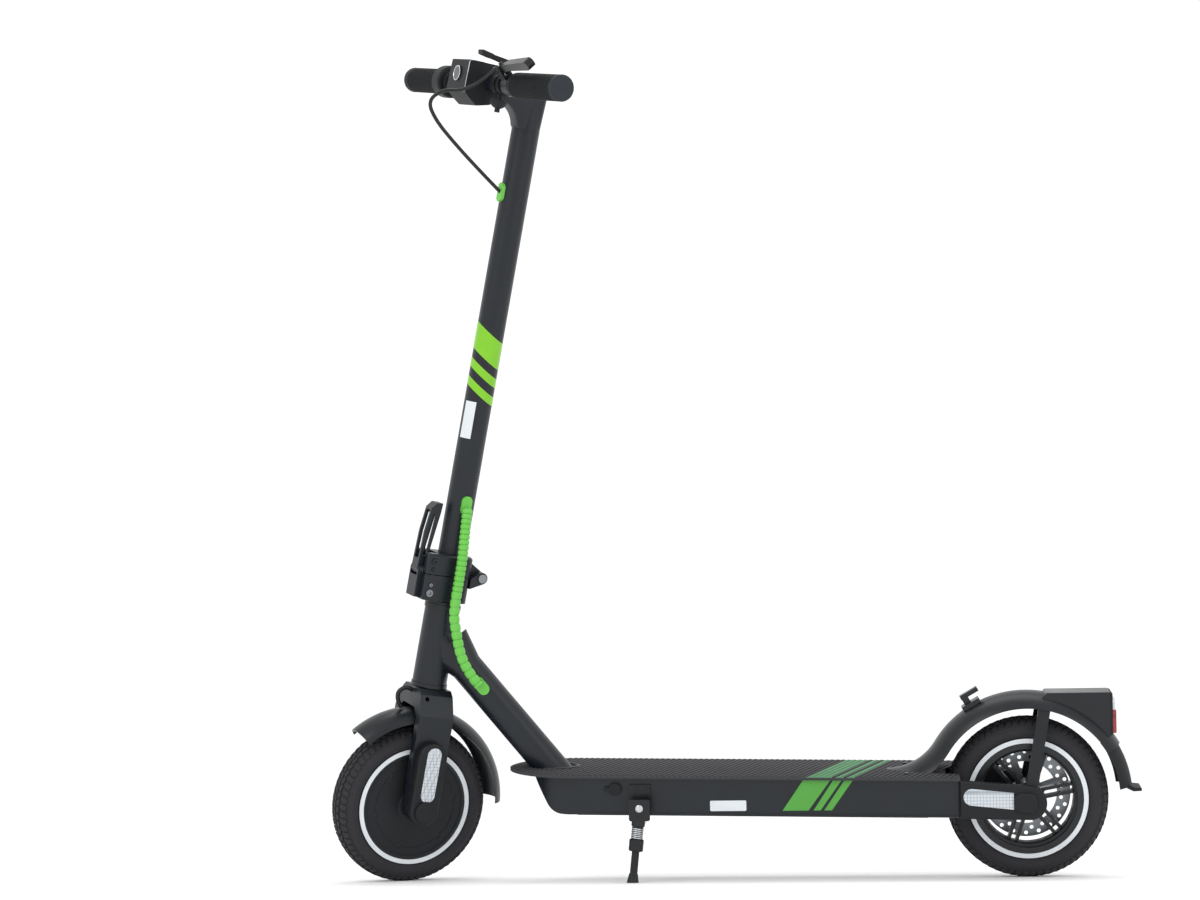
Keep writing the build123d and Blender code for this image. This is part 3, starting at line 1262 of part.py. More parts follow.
def fender_hook():
    """Hook that holds the folded bars, on a pad screwed to the fender."""
    pad = Pos(FENDER_CROWN_R + 1.5, 0, 0) * Box(6, 22, 26)
    neck_post = Pos(FENDER_CROWN_R + 8, 0, 3) * Box(14, 10, 9)
    head = Pos(FENDER_CROWN_R + 15, 0, -5) * Box(6, 12, 26)
    body = REAR_AXLE * turn(HOOK_ANGLE) * (pad + neck_post + head)
    return body - REAR_AXLE * lathe(fender_fill(FENDER_CROWN_R, FENDER_SKIRT_DROP, FENDER_HALF_WIDTH))


def fender_struts():
    """Flat stays from the arms up inside the fender's skirts."""
    foot = Vector(838, -ARM_INNER_Y + STRUT_THICKNESS / 2 + 0.05, 122)
    head = Vector(859, -FENDER_HALF_WIDTH + FENDER_WALL + STRUT_THICKNESS / 2 + 1.2, 233)
    axis = head - foot
    place = Plane(foot, x_dir=(1, 0, -axis.X / axis.Z), z_dir=axis).location
    bar = place * Pos(0, 0, axis.length / 2) * Box(STRUT_WIDTH, STRUT_THICKNESS, axis.length)
    fender = rear_fender()
    return group([main_solid(stay - fender) for stay in both_sides(bar)])


def frame_fasteners():
    """Rear axle set and the screws of the fender flare and the kickstand bracket."""
    mat_z = DECK_TOP + MAT_THICKNESS
    made = [DECK * post(3.5, mat_z, mat_z + 2.4, x=672, y=y) for y in (-43.0, 43.0)]
    face = -DECK_HALF_WIDTH - STAND_PLATE
    for x in (STAND_PIVOT_X - 7, STAND_PIVOT_X + 7):
        head = rod(3.4, face - 1.6, face, x, 132) - rod(1.6, face - 2, face - 0.6, x, 132)
        made.append(DECK * head)
    return group(rear_axle(), made)


# ---------------------------------------------------------------- kickstand
def kickstand_bracket():
    """Bracket plate on the deck's side with a round boss and the pivot rivet."""
    x, z = STAND_PIVOT_X, STAND_PIVOT_Z
    low, high = x - STAND_PLATE_HALF, x + STAND_PLATE_HALF
    plate_face = -DECK_HALF_WIDTH - STAND_PLATE
    plate = block((low, high), (plate_face, -DECK_HALF_WIDTH), (z - 12, z + 28))
    plate &= DECK * block((low - 5, high + 5), (-90, -60), (DECK_BOTTOM + 2, DECK_TOP - 4))
    body = plate + rod(STAND_BOSS_R, STAND_CHEEK_INNER + 0.2, plate_face, x, z)
    body -= rod(STAND_PIN_R, -100, -60, x, z)
    rivet = rod(STAND_PIN_R, STAND_CHEEK_OUTER - 0.2, -DECK_HALF_WIDTH, x, z)
    rivet += rod(STAND_PIN_R + 1.5, STAND_CHEEK_OUTER - 2.0, STAND_CHEEK_OUTER - 0.2, x, z)
    return group(body, rivet)


def stand_leg_place():
    """Frame at the kickstand's pivot whose Z axis runs up the leg."""
    pivot = Vector(STAND_PIVOT_X, STAND_PIVOT_Y, STAND_PIVOT_Z)
    foot_z = -STAND_FOOT_Y * tan(radians(LEAN)) - CROWN_R * (1 - cos(radians(LEAN))) / cos(radians(LEAN))
    foot = Vector(STAND_FOOT_X, STAND_FOOT_Y, foot_z)
    return Plane(pivot, x_dir=(1, 0, 0), z_dir=pivot - foot).location, (pivot - foot).length


def kickstand_leg():
    """Sprung leg: cheek plate on the rivet, two collars, spring sleeve, rod and rubber foot."""
    place, length = stand_leg_place()
    x, z = STAND_PIVOT_X, STAND_PIVOT_Z
    outer, inner = STAND_CHEEK_OUTER, STAND_CHEEK_INNER
    cheek = block((x - STAND_PLATE_HALF, x + STAND_PLATE_HALF), (outer, inner), (z - 17, z + 11.5))
    cheek = chamfer(cheek.edges().filter_by(Axis.Y), 2)
    link = block((x - 7, x + 7), (outer, -78), (z - 22, z - 10.5))
    cheek -= rod(STAND_PIN_R + RUNNING_GAP, -110, -60, x, z)
    upper = post(9, COLLAR_SPRING_TOP, -12.5)
    upper = chamfer(upper.edges().filter_by(GeomType.CIRCLE).sort_by(Axis.Z)[:1], 1.5)
    leg_rod = post(STAND_ROD_R, -length + 8, -14)
    lower = post(9.8, COLLAR_SPRING_BOTTOM - 16.5, COLLAR_SPRING_BOTTOM)
    lower = chamfer(lower.edges().filter_by(GeomType.CIRCLE), 1.5)
    leg = cheek + link + place * (upper + leg_rod + lower)
    spring = post(7.4, COLLAR_SPRING_BOTTOM, COLLAR_SPRING_TOP)
    spring = place * (spring - post(STAND_ROD_R, COLLAR_SPRING_BOTTOM - 1, COLLAR_SPRING_TOP + 1))
    foot = place * Pos(0, 0, -length + 4) * Cone(9.0, STAND_ROD_R + 0.8, 16)
    foot -= place * post(STAND_ROD_R, -length + 8, 0)
    foot = cut_below_floor(foot, STANCE)
    return group(leg, spring, foot)


# ---------------------------------------------------------------- output
def front_wheel():
    """Nodes that spin on the front axle, in the column frame."""
    return {
        "front_tyre": tyre(), "front_motor_shell": motor_shell(), "front_motor_cover": motor_cover(),
        "front_wheel_hardware": front_wheel_hardware(),
        "front_rings": reflective_rings(),
    }


def rear_wheel():
    """Nodes that spin on the rear axle, in the upright frame."""
    return {
        "rear_tyre": REAR_AXLE * tyre(), "rear_rim": rear_rim(), "brake_disc": brake_disc(),
        "rear_rings": REAR_AXLE * reflective_rings(),
    }


def steered_parts():
    """Nodes that turn with the steering, in the column frame."""
    return {
        "fork": fork(), "fork_covers": fork_covers(), "fork_reflectors": fork_reflectors(),
        "front_axle": front_axle(), "motor_stator": motor_stator(), "front_fender": front_fender(),
        "motor_cable": motor_cable(), "hinge_base": hinge_base(), "hinge_fasteners": hinge_fasteners(),
        "latch_lever": latch_lever(), "stem_base": stem_base(), "stem_tube": stem_tube(), "neck": neck(),
        "handlebar": handlebar(), "grips": grips(),
        "display_housing": display_housing(), "display_lenses": display_lenses(), "power_button": power_button(),
        "throttle_housing": throttle_housing(), "throttle_lever": throttle_lever(),
        "brake_bracket": group(brake_bracket(), brake_pin()), "brake_lever": brake_lever(), "bell": bell(),
        "bell_lever": bell_lever(), "brake_cable": brake_cable(), "stem_grommets": stem_grommets(),
        "cable_guard_upper": cable_guard_upper(),
    }


def frame_parts():
    """Nodes of the frame and kickstand, in the upright frame."""
    return {
        "head_tube": head_tube(), "headset_bearings": headset_bearings(), "down_tube": down_tube(),
        "down_tube_grommet": down_tube_grommet(), "cable_guard_lower": cable_guard_lower(),
        "deck_shell": deck_shell(), "deck_bottom_cover": deck_bottom_cover(), "deck_mat": deck_mat(),
        "deck_electronics": deck_electronics(), "charge_port": charge_port(), "charge_flap": charge_flap(),
        "rear_arms": rear_arms(), "rear_arm_covers": rear_arm_covers(), "rear_reflectors": rear_reflectors(),
        "brake_caliper": brake_caliper(), "caliper_arm": caliper_arm(),
        "rear_fender": rear_fender(), "tail_light_lenses": tail_light_lenses(), "mudflap": mudflap(),
        "fender_hook": fender_hook(), "fender_struts": fender_struts(), "frame_fasteners": frame_fasteners(),
        "kickstand_bracket": kickstand_bracket(), "kickstand_leg": kickstand_leg(),
    }


def main():
    """Place every sub-part in its stance and write one STEP file for each."""
    os.makedirs("parts", exist_ok=True)
    steered = {**front_wheel(), **steered_parts()}
    upright = {**rear_wheel(), **frame_parts()}
    for place, nodes in ((STANCE * STEERED, steered), (STANCE, upright)):
        for name, shape in nodes.items():
            export_step(place * shape, f"parts/{name}.step")
    print(len(steered) + len(upright), "nodes")


if __name__ == "__main__":
    main()
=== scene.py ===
"""Looks of a folding electric kick scooter, built round its CAD frame.

Two local frames are rebuilt from the joints, both in millimetres: the upright frame (X to the rear, Y to
the rider's right, Z up from the floor, front axle at X = 0) and the column frame (Z up the steering axis
from the front axle, X to the rear). Each sub-assembly is a class that models its pieces in one of them.
"""

import json
import logging
from dataclasses import dataclass
from enum import Enum
from math import cos, pi, radians, sin, sqrt, tan
from typing import Callable, Iterable, Sequence

import bmesh
import bpy
from mathutils import Matrix, Vector


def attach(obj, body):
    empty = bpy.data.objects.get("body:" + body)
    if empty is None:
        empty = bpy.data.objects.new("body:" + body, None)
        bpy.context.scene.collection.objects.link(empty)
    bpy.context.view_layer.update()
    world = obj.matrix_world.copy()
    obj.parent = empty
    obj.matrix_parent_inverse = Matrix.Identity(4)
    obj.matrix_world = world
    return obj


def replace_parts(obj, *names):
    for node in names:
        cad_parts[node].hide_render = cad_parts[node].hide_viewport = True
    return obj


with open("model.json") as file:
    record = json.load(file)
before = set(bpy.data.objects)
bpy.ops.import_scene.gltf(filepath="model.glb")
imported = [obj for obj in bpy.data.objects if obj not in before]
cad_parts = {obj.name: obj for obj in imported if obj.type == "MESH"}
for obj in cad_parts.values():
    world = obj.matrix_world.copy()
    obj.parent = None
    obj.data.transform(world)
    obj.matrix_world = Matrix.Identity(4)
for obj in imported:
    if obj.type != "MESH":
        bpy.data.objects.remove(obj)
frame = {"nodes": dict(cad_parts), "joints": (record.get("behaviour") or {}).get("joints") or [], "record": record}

logging.basicConfig(level=logging.INFO, format="%(message)s")
LOG = logging.getLogger("scooter")

MM = 0.001
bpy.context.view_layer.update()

WHEELBASE = 835.0
AXLE_HEIGHT = 108.0
STEERING_JOINT_HEIGHT = 220.0
BAR_TURN = radians(-31.9)
DECK_PIVOT_X = 435.0
DECK_SLOPE = radians(1)
LEAN = radians(8.5)

Point = tuple[float, float, float]
Outline = Sequence[tuple[float, float]]


# ------------------------------------------------------------------------------------------- frames
def joint(name: str) -> dict:
    """The record's joint of that name."""
    return next(item for item in frame["joints"] if item["name"] == name)


def axes_to_matrix(ahead: Vector, across: Vector, up: Vector, origin: Vector) -> Matrix:
    """Local millimetres to row metres.

    Args:
        ahead, across, up: the local X, Y and Z directions in the row frame.
        origin: the local origin in the row frame, in metres.

    Returns:
        The 4x4 matrix, scale included.
    """
    turn = Matrix((ahead, across, up)).transposed().to_4x4()
    return Matrix.Translation(origin) @ turn @ Matrix.Scale(MM, 4)


def upright_frame() -> Matrix:
    """Frame of the leaning scooter, from the rear wheel's joint."""
    spin = joint("rear_wheel_spin")
    across = Vector(spin["axis"]).normalized()
    ahead = Vector((1, 0, 0))
    up = ahead.cross(across)
    axle = Vector(spin["pos_m"])
    return axes_to_matrix(ahead, across, up, axle - ahead * (WHEELBASE * MM) - up * (AXLE_HEIGHT * MM))


def column_frame() -> Matrix:
    """Frame of the steered column, from the steering and fold joints."""
    steering = joint("steering")
    up = Vector(steering["axis"]).normalized()
    across = Vector(joint("fold")["axis"]).normalized()
    origin = Vector(steering["pos_m"]) - up * (STEERING_JOINT_HEIGHT * MM)
    return axes_to_matrix(across.cross(up), across, up, origin)


UPRIGHT = upright_frame()
COLUMN = column_frame()
STRAIGHT = COLUMN @ Matrix.Rotation(BAR_TURN, 4, "Z")
TO_DECK_PIVOT = Matrix.Translation((DECK_PIVOT_X, 0, 0))
DECK = UPRIGHT @ TO_DECK_PIVOT @ Matrix.Rotation(DECK_SLOPE, 4, "Y") @ TO_DECK_PIVOT.inverted()
REAR_AXLE = UPRIGHT @ Matrix.Translation((WHEELBASE, 0, AXLE_HEIGHT))


# ---------------------------------------------------------------------------------------- materials
def linear(code: str) -> tuple[float, float, float, float]:
    """Turn an sRGB hex colour into linear RGBA.

    Args:
        code: six hex digits after a hash.

    Returns:
        Linear red, green, blue and an alpha of one.
    """
    parts = [int(code[i : i + 2], 16) / 255 for i in (1, 3, 5)]
    return tuple(c / 12.92 if c <= 0.04045 else ((c + 0.055) / 1.055) ** 2.4 for c in parts) + (1.0,)


def add(tree: bpy.types.NodeTree, kind: str, inputs: dict | None = None, **settings) -> bpy.types.Node:
    """Add a node, with its settings, values and links.

    Args:
        tree: the material's node tree.
        kind: the node's type name.
        inputs: socket name or index to a value, or to the output that feeds it.
        settings: plain properties of the node.

    Returns:
        The node.
    """
    made = tree.nodes.new(kind)
    for name, value in settings.items():
        setattr(made, name, value)
    for socket, value in (inputs or {}).items():
        if isinstance(value, bpy.types.NodeSocket):
            tree.links.new(value, made.inputs[socket])
        else:
            made.inputs[socket].default_value = value
    return made


class Grain(Enum):
    """Kinds of fine surface pattern."""

    NOISE = "noise"
    CELLS = "cells"
    BRUSHED = "brushed"


@dataclass(frozen=True)
class Finish:
    """One finish: what it is made of and how its surface was worked."""

    name: str
    colour: str
    shade: str
    rough: float
    metal: float = 0.0
    coat: float = 0.0
    ior: float = 1.5
    grain: Grain = Grain.NOISE
    grain_mm: float = 1.2
    bump: float = 0.08
    rough_spread: float = 0.06
    patch_mm: float = 60.0
    sheen: float = 0.0
    gloss: float = 0.3

    def build(self) -> bpy.types.Material:
        """Return the material, made once."""
        if self.name in bpy.data.materials:
            return bpy.data.materials[self.name]
        made = bpy.data.materials.new(self.name)
        made.use_nodes = True
        tree = made.node_tree
        tree.nodes.clear()
        place = add(tree, "ShaderNodeTexCoord").outputs["Object"]
        patch = add(
            tree, "ShaderNodeTexNoise",
            {"Vector": place, "Scale": 1 / (self.patch_mm * MM), "Detail": 3.0, "Roughness": 0.6},
        ).outputs["Fac"]
        fine = self.pattern(tree, place)
        mixed = add(tree, "ShaderNodeMath", {0: patch, 1: fine}, operation="MULTIPLY").outputs[0]
        share = add(
            tree, "ShaderNodeMapRange", {"Value": mixed, "From Min": 0.1, "From Max": 0.45}
        ).outputs["Result"]
        colour = add(tree, "ShaderNodeMix", {"Factor": share}, data_type="RGBA")
        for socket in colour.inputs:
            if socket.type == "RGBA":
                socket.default_value = linear(self.colour if socket.name == "A" else self.shade)
        tint = next(socket for socket in colour.outputs if socket.type == "RGBA")
        rough = add(
            tree, "ShaderNodeMapRange",
            {
                "Value": patch, "From Min": 0.3, "From Max": 0.7,
                "To Min": max(self.rough - self.rough_spread, 0.02), "To Max": self.rough + self.rough_spread,
            },
        ).outputs["Result"]
        bump = add(
            tree, "ShaderNodeBump",
            {"Height": fine, "Strength": self.bump, "Distance": self.grain_mm * MM * 0.5},
        ).outputs["Normal"]
        shader = add(
            tree, "ShaderNodeBsdfPrincipled",
            {
                "Base Color": tint, "Roughness": rough, "Metallic": self.metal, "IOR": self.ior,
                "Specular IOR Level": self.gloss, "Coat Weight": self.coat, "Coat Roughness": 0.25,
                "Sheen Weight": self.sheen, "Normal": bump,
            },
        )
        add(tree, "ShaderNodeOutputMaterial", {"Surface": shader.outputs["BSDF"]})
        return made

    def pattern(self, tree: bpy.types.NodeTree, place: bpy.types.NodeSocket) -> bpy.types.NodeSocket:
        """The fine pattern's value.

        Args:
            tree: the material's node tree.
            place: the coordinates to use.

        Returns:
            The output that carries the pattern, from 0 to 1.
        """
        scale = 1 / (self.grain_mm * MM)
        if self.grain is Grain.CELLS:
            cells = add(
                tree, "ShaderNodeTexVoronoi", {"Vector": place, "Scale": scale, "Randomness": 0.0},
                feature="DISTANCE_TO_EDGE",
            ).outputs["Distance"]
            return add(
                tree, "ShaderNodeMapRange",
                {"Value": cells, "From Min": 0.03, "From Max": 0.12, "To Min": 1.0, "To Max": 0.0},
            ).outputs["Result"]
        if self.grain is Grain.BRUSHED:
            place = add(tree, "ShaderNodeMapping", {"Vector": place, "Scale": (1, 0.04, 1)}).outputs["Vector"]
        noise = add(tree, "ShaderNodeTexNoise", {"Vector": place, "Scale": scale, "Detail": 2.0})
        return noise.outputs["Fac"]


# Powder coat, satin blue-black, baked on aluminium: soft highlights and a fine orange peel.
POWDER_COAT = Finish(
    "powder_coat_blue_black", "#0E1319", "#151B22", 0.40, coat=0.12, grain_mm=1.4, bump=0.10
)
# Injection-moulded ABS with a fine spark texture: nearly matt.
MATT_ABS = Finish("matt_abs", "#0E1013", "#141619", 0.55, grain_mm=0.8, bump=0.12)
# Polished polypropylene of the fenders: a long soft sheen.
SATIN_PP = Finish("satin_polypropylene", "#0D1116", "#13181D", 0.33, coat=0.1, grain_mm=2.0, bump=0.04)
# Carbon-filled tyre rubber, moulded: dusty in its low places.
TYRE_RUBBER = Finish("tyre_rubber", "#0D0F11", "#15171A", 0.72, grain_mm=0.9, bump=0.25, sheen=0.05)
# Moulded rubber of grips, mudflap and cables.
SOFT_RUBBER = Finish("moulded_rubber", "#0C0E11", "#121518", 0.62, grain_mm=0.6, bump=0.2)
# Grip end caps, a lighter moulded rubber.
CAP_RUBBER = Finish("cap_rubber", "#1E2328", "#272C32", 0.58, grain_mm=0.5, bump=0.18)
# Foot mat, moulded rubber with a grey bloom.
MAT_RUBBER = Finish("mat_rubber", "#1B1D21", "#25282D", 0.78, grain_mm=0.9, bump=0.3)
# Green thermoplastic rubber of the guards and grommets.
GREEN_RUBBER = Finish("green_rubber", "#459E2B", "#50AB33", 0.42, grain_mm=0.7, bump=0.08)
# Screen-printed green on the deck's side.
GREEN_PRINT = Finish("green_print", "#4C943A", "#579F45", 0.5, grain_mm=0.6, bump=0.05)
# The same print worn thin over the rubber mat.
PALE_PRINT = Finish("pale_green_print", "#4A7A53", "#5F9068", 0.7, grain_mm=0.7, bump=0.2)
# Lime foil stuck round the stem.
LIME_FOIL = Finish("lime_foil", "#70B412", "#7BBF1C", 0.35, coat=0.3, grain_mm=0.5, bump=0.02)
# White paper label under film.
LABEL = Finish("label_white", "#D6DADE", "#C9CED3", 0.4, coat=0.3, grain_mm=0.5, bump=0.03)
# Anodised aluminium of the motor and cast rim, dark grey.
DARK_ALLOY = Finish(
    "anodised_aluminium_grey", "#1A1D20", "#212428", 0.42, metal=0.35, grain_mm=1.0, bump=0.08
)
# Cast rim, painted black.
RIM_PAINT = Finish("rim_black_paint", "#111317", "#191C20", 0.36, coat=0.2, grain_mm=1.4, bump=0.08)
# Ground steel of the brake disc.
DISC_STEEL = Finish(
    "ground_steel", "#6C7074", "#8A8E92", 0.32, metal=1.0, grain=Grain.BRUSHED, grain_mm=0.7, bump=0.1
)
# Bright zinc-plated steel of axles and screws.
BRIGHT_STEEL = Finish("zinc_steel", "#B5B8BC", "#D0D3D6", 0.25, metal=1.0, grain_mm=0.6, bump=0.04)
# Black oxide steel of screws, levers and the stand.
BLACK_STEEL = Finish(
    "black_oxide_steel", "#17181A", "#222427", 0.34, metal=0.35, coat=0.15, grain_mm=0.8, bump=0.08
)
# Prismatic reflector: small cells under clear plastic.
PRISM = Finish(
    "prism_reflector", "#C4CAD0", "#949DA6", 0.3, coat=0.6, grain=Grain.CELLS, grain_mm=4.2, bump=0.35
)
# White reflective ring on the rims.
RING_WHITE = Finish("ring_reflector", "#DDE1E5", "#C9CFD4", 0.38, coat=0.3, grain_mm=0.8, bump=0.05)
# Red acrylic of the tail lamp, ribbed inside.
RED_ACRYLIC = Finish(
    "red_acrylic", "#9A1220", "#6A0C16", 0.16, coat=0.8, ior=1.49, grain=Grain.CELLS, grain_mm=5.0, bump=0.3
)
# Clear acrylic strip over a silver reflector.
CLEAR_ACRYLIC = Finish(
    "clear_acrylic", "#B9BEC2", "#D6DADD", 0.14, coat=0.8, ior=1.49, grain=Grain.CELLS, grain_mm=3.0, bump=0.4
)
# Smooth plastic jacket of the cables.
CABLE_JACKET = Finish("cable_jacket", "#101214", "#16181B", 0.36, coat=0.1, grain_mm=3.0, bump=0.01)
# Dark display glass.
DARK_GLASS = Finish(
    "display_glass", "#07080A", "#0B0D10", 0.08, coat=0.8, grain_mm=3.0, bump=0.0, rough_spread=0.02
)
# Chrome-look trim.
CHROME = Finish(
    "chrome_trim", "#C9CDD1", "#E2E5E8", 0.12, metal=1.0, grain_mm=1.0, bump=0.02, rough_spread=0.03
)
# Seamless pale paper of the floor.
PAPER = Finish("studio_paper", "#FBFBFB", "#FCFCFC", 0.85, grain_mm=3.0, bump=0.0)

NODE_FINISHES: dict[str, Finish] = {
    "frame_paint": POWDER_COAT,
    "black_plastic": MATT_ABS,
    "fender_plastic": SATIN_PP,
    "tyre_rubber": TYRE_RUBBER,
    "rubber": SOFT_RUBBER,
    "mat_rubber": MAT_RUBBER,
    "green_rubber": GREEN_RUBBER,
    "alloy": DISC_STEEL,
    "motor_alloy": DARK_ALLOY,
    "steel": BRIGHT_STEEL,
    "black_steel": BLACK_STEEL,
    "reflector": PRISM,
    "red_lens": RED_ACRYLIC,
    "dark_glass": DARK_GLASS,
    "core": MATT_ABS,
}
SPECIAL_FINISHES: dict[str, Finish] = {
    "rear_rim": RIM_PAINT,
    "front_motor_shell": RIM_PAINT,
    "handlebar": POWDER_COAT,
    "front_rings": RING_WHITE,
    "rear_rings": RING_WHITE,
    "motor_stator": BRIGHT_STEEL,
    "headset_bearings": BLACK_STEEL,
    "hinge_fasteners": DISC_STEEL,
    "motor_cable": CABLE_JACKET,
    "brake_cable": CABLE_JACKET,
}


# ------------------------------------------------------------------------------------------ helpers
def finish_piece(
    shape: bmesh.types.BMesh,
    name: str,
    place: Matrix,
    finishes: Sequence[Finish],
    body: str,
    smooth: float = 35.0,
) -> bpy.types.Object:
    """Turn a bmesh in local millimetres into a dressed piece that rides on a body.

    Args:
        shape: the modelled shape, freed here.
        name: the piece's name.
        place: local frame to row frame.
        finishes: one or more finishes, in the order of the faces' material numbers.
        body: the CAD body to ride on.
        smooth: edges sharper than this angle, in degrees, stay crisp.

    Returns:
        The object.
    """
    bmesh.ops.transform(shape, matrix=place, verts=shape.verts)
    mesh = bpy.data.meshes.new(name)
    shape.to_mesh(mesh)
    shape.free()
    for finish in finishes:
        mesh.materials.append(finish.build())
    for face in mesh.polygons:
        face.use_smooth = True
    mesh.set_sharp_from_angle(angle=radians(smooth))
    made = bpy.data.objects.new(name, mesh)
    bpy.context.scene.collection.objects.link(made)
    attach(made, body)
    LOG.info("piece %s on %s: %d faces", name, body, len(mesh.polygons))
    return made


def spun(profile: Outline, steps: int) -> bmesh.types.BMesh:
    """Turn a closed profile about the Y axis.

    Args:
        profile: points (radius, across); the last joins the first.
        steps: segments round the axis.

    Returns:
        The turned shape.
    """
    made = bmesh.new()
    verts = [made.verts.new((r, y, 0)) for r, y in profile]
    edges = [made.edges.new(pair) for pair in zip(verts, verts[1:] + verts[:1])]
    bmesh.ops.spin(
        made, geom=verts + edges, cent=(0, 0, 0), axis=(0, 1, 0), angle=2 * pi, steps=steps, use_merge=True
    )
    bmesh.ops.remove_doubles(made, verts=made.verts, dist=0.001)
    bmesh.ops.recalc_face_normals(made, faces=made.faces)
    return made


def bar(size: Point, centre: Point, turn: Matrix | None = None, bevel: float = 0.0) -> bmesh.types.BMesh:
    """A box with rounded edges.

    Args:
        size: lengths along X, Y and Z.
        centre: its middle.
        turn: a rotation applied before it is moved.
        bevel: radius of the edges.

    Returns:
        The box.
    """
    made = bmesh.new()
    bmesh.ops.create_cube(made, size=1.0)
    bmesh.ops.scale(made, vec=size, verts=made.verts)
    if bevel:
        bmesh.ops.bevel(
            made, geom=made.edges[:], offset=bevel, segments=2, profile=0.5, affect="EDGES", material=-1
        )
    if turn is not None:
        bmesh.ops.transform(made, matrix=turn, verts=made.verts)
    bmesh.ops.translate(made, vec=centre, verts=made.verts)
    return made


def gather(shapes: Iterable[bmesh.types.BMesh]) -> bmesh.types.BMesh:
    """Join bmeshes into one, freeing them."""
    made = bmesh.new()
    for shape in shapes:
        mesh = bpy.data.meshes.new("gathered")
        shape.to_mesh(mesh)
        shape.free()
        made.from_mesh(mesh)
        bpy.data.meshes.remove(mesh)
    return made


def repeated(shape: bmesh.types.BMesh, turns: Iterable[Matrix]) -> bmesh.types.BMesh:
    """Copies of one small shape, one for each matrix.

    Args:
        shape: the shape, freed here.
        turns: where each copy goes.

    Returns:
        All copies in one bmesh.
    """
    mesh = bpy.data.meshes.new("repeated")
    shape.to_mesh(mesh)
    shape.free()
    made = bmesh.new()
    for turn in turns:
        start = len(made.verts)
        made.from_mesh(mesh)
        made.verts.ensure_lookup_table()
        bmesh.ops.transform(made, matrix=turn, verts=made.verts[start:])
    bpy.data.meshes.remove(mesh)
    return made


def plate(outline: Outline, thickness: float, bevel: float = 0.0) -> bmesh.types.BMesh:
    """A flat plate drawn in X and Z that stands out towards -Y from Y = 0.

    Args:
        outline: its corners (x, z).
        thickness: how far it stands out.
        bevel: radius of its outer rim.

    Returns:
        The plate.
    """
    made = bmesh.new()
    face = made.faces.new([made.verts.new((x, 0, z)) for x, z in outline])
    grown = bmesh.ops.extrude_face_region(made, geom=[face])
    top = [item for item in grown["geom"] if isinstance(item, bmesh.types.BMVert)]
    bmesh.ops.translate(made, vec=(0, -thickness, 0), verts=top)
    if bevel:
        rim = [edge for edge in made.edges if all(vert in top for vert in edge.verts)]
        bmesh.ops.bevel(made, geom=rim, offset=bevel, segments=2, profile=0.5, affect="EDGES", material=-1)
    bmesh.ops.recalc_face_normals(made, faces=made.faces)
    return made


def rounded_rectangle(low: tuple[float, float], high: tuple[float, float], radius: float) -> Outline:
    """Corners of a rectangle with round corners."""
    points = []
    centres = (
        (high[0] - radius, high[1] - radius, 0), (low[0] + radius, high[1] - radius, 90),
        (low[0] + radius, low[1] + radius, 180), (high[0] - radius, low[1] + radius, 270),
    )
    for x, z, start in centres:
        for step in range(5):
            angle = radians(start + 22.5 * step)
            points.append((x + radius * cos(angle), z + radius * sin(angle)))
    return points


def smooth_route(points: Sequence[Vector], resolution: int = 24) -> list[Vector]:
    """Points along the smooth NURBS line that a route steers.

    Args:
        points: the route's control points.
        resolution: samples for each control point.

    Returns:
        Points on the line, in order.
    """
    curve = bpy.data.curves.new("route", "CURVE")
    curve.dimensions = "3D"
    spline = curve.splines.new("NURBS")
    spline.points.add(len(points) - 1)
    for control, point in zip(spline.points, points):
        control.co = (*point, 1)
    spline.order_u = 3
    spline.use_endpoint_u = True
    curve.resolution_u = resolution
    holder = bpy.data.objects.new("route", curve)
    bpy.context.scene.collection.objects.link(holder)
    mesh = bpy.data.meshes.new_from_object(holder.evaluated_get(bpy.context.evaluated_depsgraph_get()))
    line = [vert.co.copy() for vert in mesh.vertices]
    bpy.data.objects.remove(holder)
    bpy.data.meshes.remove(mesh)
    bpy.data.curves.remove(curve)
    return line


def swept(
    line: Sequence[Vector], radius_at: Callable[[float], float], step: float, sides: int
) -> bmesh.types.BMesh:
    """A round body along a line whose radius may change.

    Args:
        line: points of the line, in millimetres.
        radius_at: radius for a distance along the line.
        step: spacing of the rings.
        sides: corners of each ring.

    Returns:
        The closed body.
    """
    lengths = [0.0]
    for before, after in zip(line, line[1:]):
        lengths.append(lengths[-1] + (after - before).length)
    count = max(int(lengths[-1] / step), 2)
    made = bmesh.new()
    rings, here = [], 0
    normal = (line[1] - line[0]).orthogonal().normalized()
    for number in range(count + 1):
        distance = lengths[-1] * number / count
        while here < len(line) - 2 and lengths[here + 1] < distance:
            here += 1
        span = lengths[here + 1] - lengths[here]
        share = (distance - lengths[here]) / span if span else 0.0
        centre = line[here].lerp(line[here + 1], share)
        heading = (line[here + 1] - line[here]).normalized()
        normal = (normal - heading * normal.dot(heading)).normalized()
        turn = Matrix((normal, heading.cross(normal), heading)).transposed().to_4x4()
        ring = bmesh.ops.create_circle(
            made, cap_ends=False, radius=radius_at(distance), segments=sides,
            matrix=Matrix.Translation(centre) @ turn,
        )["verts"]
        rings.append(list({edge for vert in ring for edge in vert.link_edges}))
    for first, second in zip(rings, rings[1:]):
        bmesh.ops.bridge_loops(made, edges=first + second)
    bmesh.ops.holes_fill(made, edges=rings[0] + rings[-1], sides=sides)
    bmesh.ops.recalc_face_normals(made, faces=made.faces)
    return made


def to_upright(point: Point) -> Vector:
    """A column-frame point in the upright frame."""
    return UPRIGHT.inverted() @ (COLUMN @ Vector(point))


